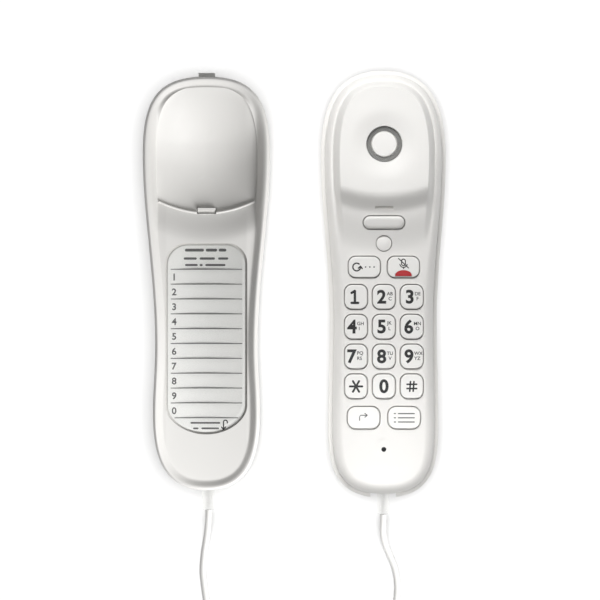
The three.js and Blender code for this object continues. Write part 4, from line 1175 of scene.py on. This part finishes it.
def make_screws():
    """Cross-head screws with thread ridges, head down, except the one under the handset's screw cap."""
    places = {"handset_screw_upper": "handset", "handset_screw_lower_left": "handset"}
    places |= {"handset_screw_lower_right": "handset", **{f"plate_screw_{k}": "cradle" for k in (1, 2, 3)}}
    for name, body in places.items():
        (x0, x1), (y0, y1), (z0, z1) = node_box(name)
        x, y, length = (x0 + x1) / 2, (y0 + y1) / 2, z1 - z0
        shank = length - 1.4
        profile = [(0, 0), (0.6, 0), (1.1, 0.8)]
        for z in np.arange(0.8, shank - 1.2, 0.7):
            profile += [(1.1, z + 0.1), (1.4, z + 0.35), (1.1, z + 0.6)]
        profile += [(1.1, shank), (2.5, shank), (2.6, shank + 0.1), (2.6, shank + 0.6), (2.3, shank + 1)]
        profile += [(1.6, length), (0, length)]
        cross = [
            box_mesh("recess", -w, w, -h, h, length - 0.7, length + 1)
            for w, h in ((1.5, 0.25), (0.25, 1.5))
        ]
        mesh = carved(turned_mesh("screw", profile, 0, 0, 32), cross)
        flip, foot = (1, z0) if name == "handset_screw_upper" else (-1, z1)
        for v in mesh.vertices:
            px, py, pz = v.co
            v.co = (px + x * MM, flip * py + y * MM, foot * MM + flip * pz)
        add_piece("screw_" + name.replace("_screw", ""), mesh, STEEL, body, name)


# ---------------------------------------------------------------- dial list

CARD_TOP = GAP + 0.3  # of the card above its pocket's floor
WINDOW_LOW, WINDOW_THICK = 0.9, 1.1
RULES, FIRST_RULE_Y, RULE_PITCH = 11, 7.35, 7.77
RULE_HALF, RULE_THICK = 18.7, 0.38
LIST_TEXT = 4.9


def slab_mesh(name, margin, low, high, easing=0.0):
    """A sheet of the window's outline, bent to the trough, at two heights above the pocket's floor."""

    def at(rise):
        return lambda x, y, _: pocket_floor(x) + rise

    steps = (20, 16, 12, 8, 5, 3, 1.5)
    rings = [(d, at(low)) for d in (*steps, 0)]
    if easing:
        rings += [(0, at(high - easing)), (easing * 0.3, at(high - easing * 0.3))]
    rings += [(d, at(high)) for d in (easing, *reversed(steps))]
    return loft_mesh(name, window_outline(margin, 110), WINDOW_SPINE, rings, CRADLE_X)


def bend_to_card(obj):
    """Raises a flat print from height 0 onto the bent card."""
    for v in obj.data.vertices:
        v.co.z += (float(pocket_floor(v.co.x / MM - CRADLE_X)) + CARD_TOP) * MM


def card_strokes(name, strokes, width, steps, material=GREY_INK):
    """Lines of ink on the card."""
    bend_to_card(ink_strokes(name, strokes, CRADLE_X, 0, 0, material, "cradle", width, steps))


def bar(x0, x1, y, height, steps=12):
    """A printed bar's centre line, in steps so that it can bend with the card."""
    inset = height / 2
    return [(x, y) for x in np.linspace(x0 + inset, x1 - inset, steps)]


def make_dial_list():
    window = slab_mesh("window", 0, WINDOW_LOW, WINDOW_LOW + WINDOW_THICK, 0.35)
    add_piece("list_window", window, CLEAR_WINDOW, "list_window", "dial_list_window")
    card = slab_mesh("card", -0.8, GAP, CARD_TOP)
    add_piece("list_card", card, CARD, "cradle", "dial_list_card")

    rules = []
    for k in range(RULES):
        half = RULE_HALF - (2.0 if k == RULES - 1 else 0)
        rules.append(bar(-half, half, FIRST_RULE_Y - k * RULE_PITCH, RULE_THICK, 24))
    card_strokes("print_rules", rules, RULE_THICK, 3)

    for k, digit in enumerate("1234567890"):
        place = CRADLE_X - 16.9, FIRST_RULE_Y - (k + 0.52) * RULE_PITCH, 0
        text = ink_text(f"print_list_{digit}", digit, LIST_TEXT, *place, GREY_INK, "cradle", 0.12)
        bend_to_card(text)

    # The heading's and the foot's bars: y, thickness and the words' two ends.
    heading = [
        (17.4, 1.5, [(-11.3, -1.3), (-0.4, 5.6), (6.4, 10.4)]),
        (13.0, 1.2, [(-11.9, -5.1), (-3.6, 4.4), (6.1, 11.4)]),
        (9.6, 1.1, [(-11.2, -4.6), (-3.6, -2.0), (-0.6, 9.9)]),
    ]
    for k, (y, height, words) in enumerate(heading):
        card_strokes(f"print_heading_{k}", [bar(*ends, y, height) for ends in words], height, 8)
    footer = [(-8.4, 7.2, -73.0), (-7.0, -4.2, -75.9), (-2.6, 6.6, -75.9)]
    card_strokes("print_footer", [bar(*word, 0.9) for word in footer], 0.9, 8)

    hook = turn(9.9, -72.6, 1.0, 0, 180)[::-1]
    arrow = [[(8.9, -73.2), *hook[1:-1], (10.9, -73.0)], [(8.9, -73.0), (8.9, -76.3)]]
    arrow += [[(8.9, -76.5), (7.9, -75.2)], [(8.9, -76.5), (9.9, -75.2)]]
    card_strokes("print_turn_arrow", arrow, 0.6, 10, INK)


make_cradle_shell()
make_back_plate()
make_feet()
make_screws()
make_dial_list()

# ---------------------------------------------------------------- carried-over CAD nodes

CAD_FINISHES = {
    SHELL_WHITE: ["retaining_hook"],
    SWITCH_PAINTED_LIGHT: ["ringer_switch_knob"],
    BLACK_PLASTIC: [
        "ringer_switch_body",
        "ringer_sounder",
        "line_jack",
        "cradle_cord_jack",
        "handset_cord_jack",
        "hook_switch_body",
    ],
    CLEAR_PLUG: ["cradle_cord_plug", "handset_cord_plug"],
    RUBBER: ["microphone_boot", "receiver_gasket"],
    SILICONE: ["keypad_membrane"],
    BOARD: ["cradle_board", "handset_board"],
    STEEL: ["ballast_plate"],
    CAPSULE_METAL: ["receiver_capsule", "microphone_capsule"],
}
for material, names in CAD_FINISHES.items():
    for name in names:
        node = nodes[name]
        node.data.materials.clear()
        node.data.materials.append(material)
        bevelled(node, 0.25 if name in ("retaining_hook", "ringer_switch_knob") else 0.12)

# ---------------------------------------------------------------- floor and lights

floor_mesh = bpy.data.meshes.new("floor")
floor_shape = bmesh.new()
bmesh.ops.create_grid(floor_shape, x_segments=1, y_segments=1, size=3)
floor_shape.to_mesh(floor_mesh)
floor_shape.free()
floor_mesh.materials.append(Finish("floor_paper", (0.93, 0.93, 0.93), 0.9).mottle(0.4, 0.01).material)
floor = bpy.data.objects.new("floor", floor_mesh)
bpy.context.scene.collection.objects.link(floor)
floor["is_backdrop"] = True

world = bpy.data.worlds.new("studio")
world.use_nodes = True
bpy.context.scene.world = world
background = world.node_tree.nodes["Background"].inputs
background["Color"].default_value = (1, 1, 1, 1)
background["Strength"].default_value = 0.15


def receivers(name, objects):
    group = bpy.data.collections.new(name)
    for obj in objects:
        group.objects.link(obj)
    return group


def softbox(name, place, target, size, power, group, spread=180):
    """A square softbox aimed at a target. It lights one group of objects, in a beam of that angle."""
    data = bpy.data.lights.new(name, "AREA")
    data.size = size
    data.energy = power
    data.spread = math.radians(spread)
    light = bpy.data.objects.new(name, data)
    light.location = place
    away = light.location - type(light.location)(target)
    light.rotation_mode = "QUATERNION"
    light.rotation_quaternion = away.to_track_quat("Z", "Y")
    bpy.context.scene.collection.objects.link(light)
    light.light_linking.receiver_collection = group


handset_bodies = {"handset", "hook_switch"} | {"button_" + name for name in KEYS}
handset_side = [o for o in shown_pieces() if set(body_of(o)) & handset_bodies and o.name != "cord"]
cradle_side = [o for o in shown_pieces() if o not in handset_side]
handset_lit = receivers("handset_lit", handset_side)
cradle_lit = receivers("cradle_lit", cradle_side)
softbox("handset_light", (-0.05, 0.5, 0.7), (0.0465, 0, 0), 0.5, 6.1, handset_lit)
softbox("foot_light", (0.0465, -0.115, 0.2), (0.0465, -0.115, 0), 0.1, 0.037, handset_lit, 70)
softbox("head_light", (0.035, 0.1, 0.3), (0.0465, 0.078, 0), 0.1, 0.0075, handset_lit, 28)
softbox("cradle_light", (0.28, -0.38, 0.46), (-0.0462, 0, 0), 0.4, 5.4, cradle_lit)
softbox("floor_light", (0, 0, 3.0), (0, 0, 0), 3.0, 120.0, receivers("floor_lit", [floor]))
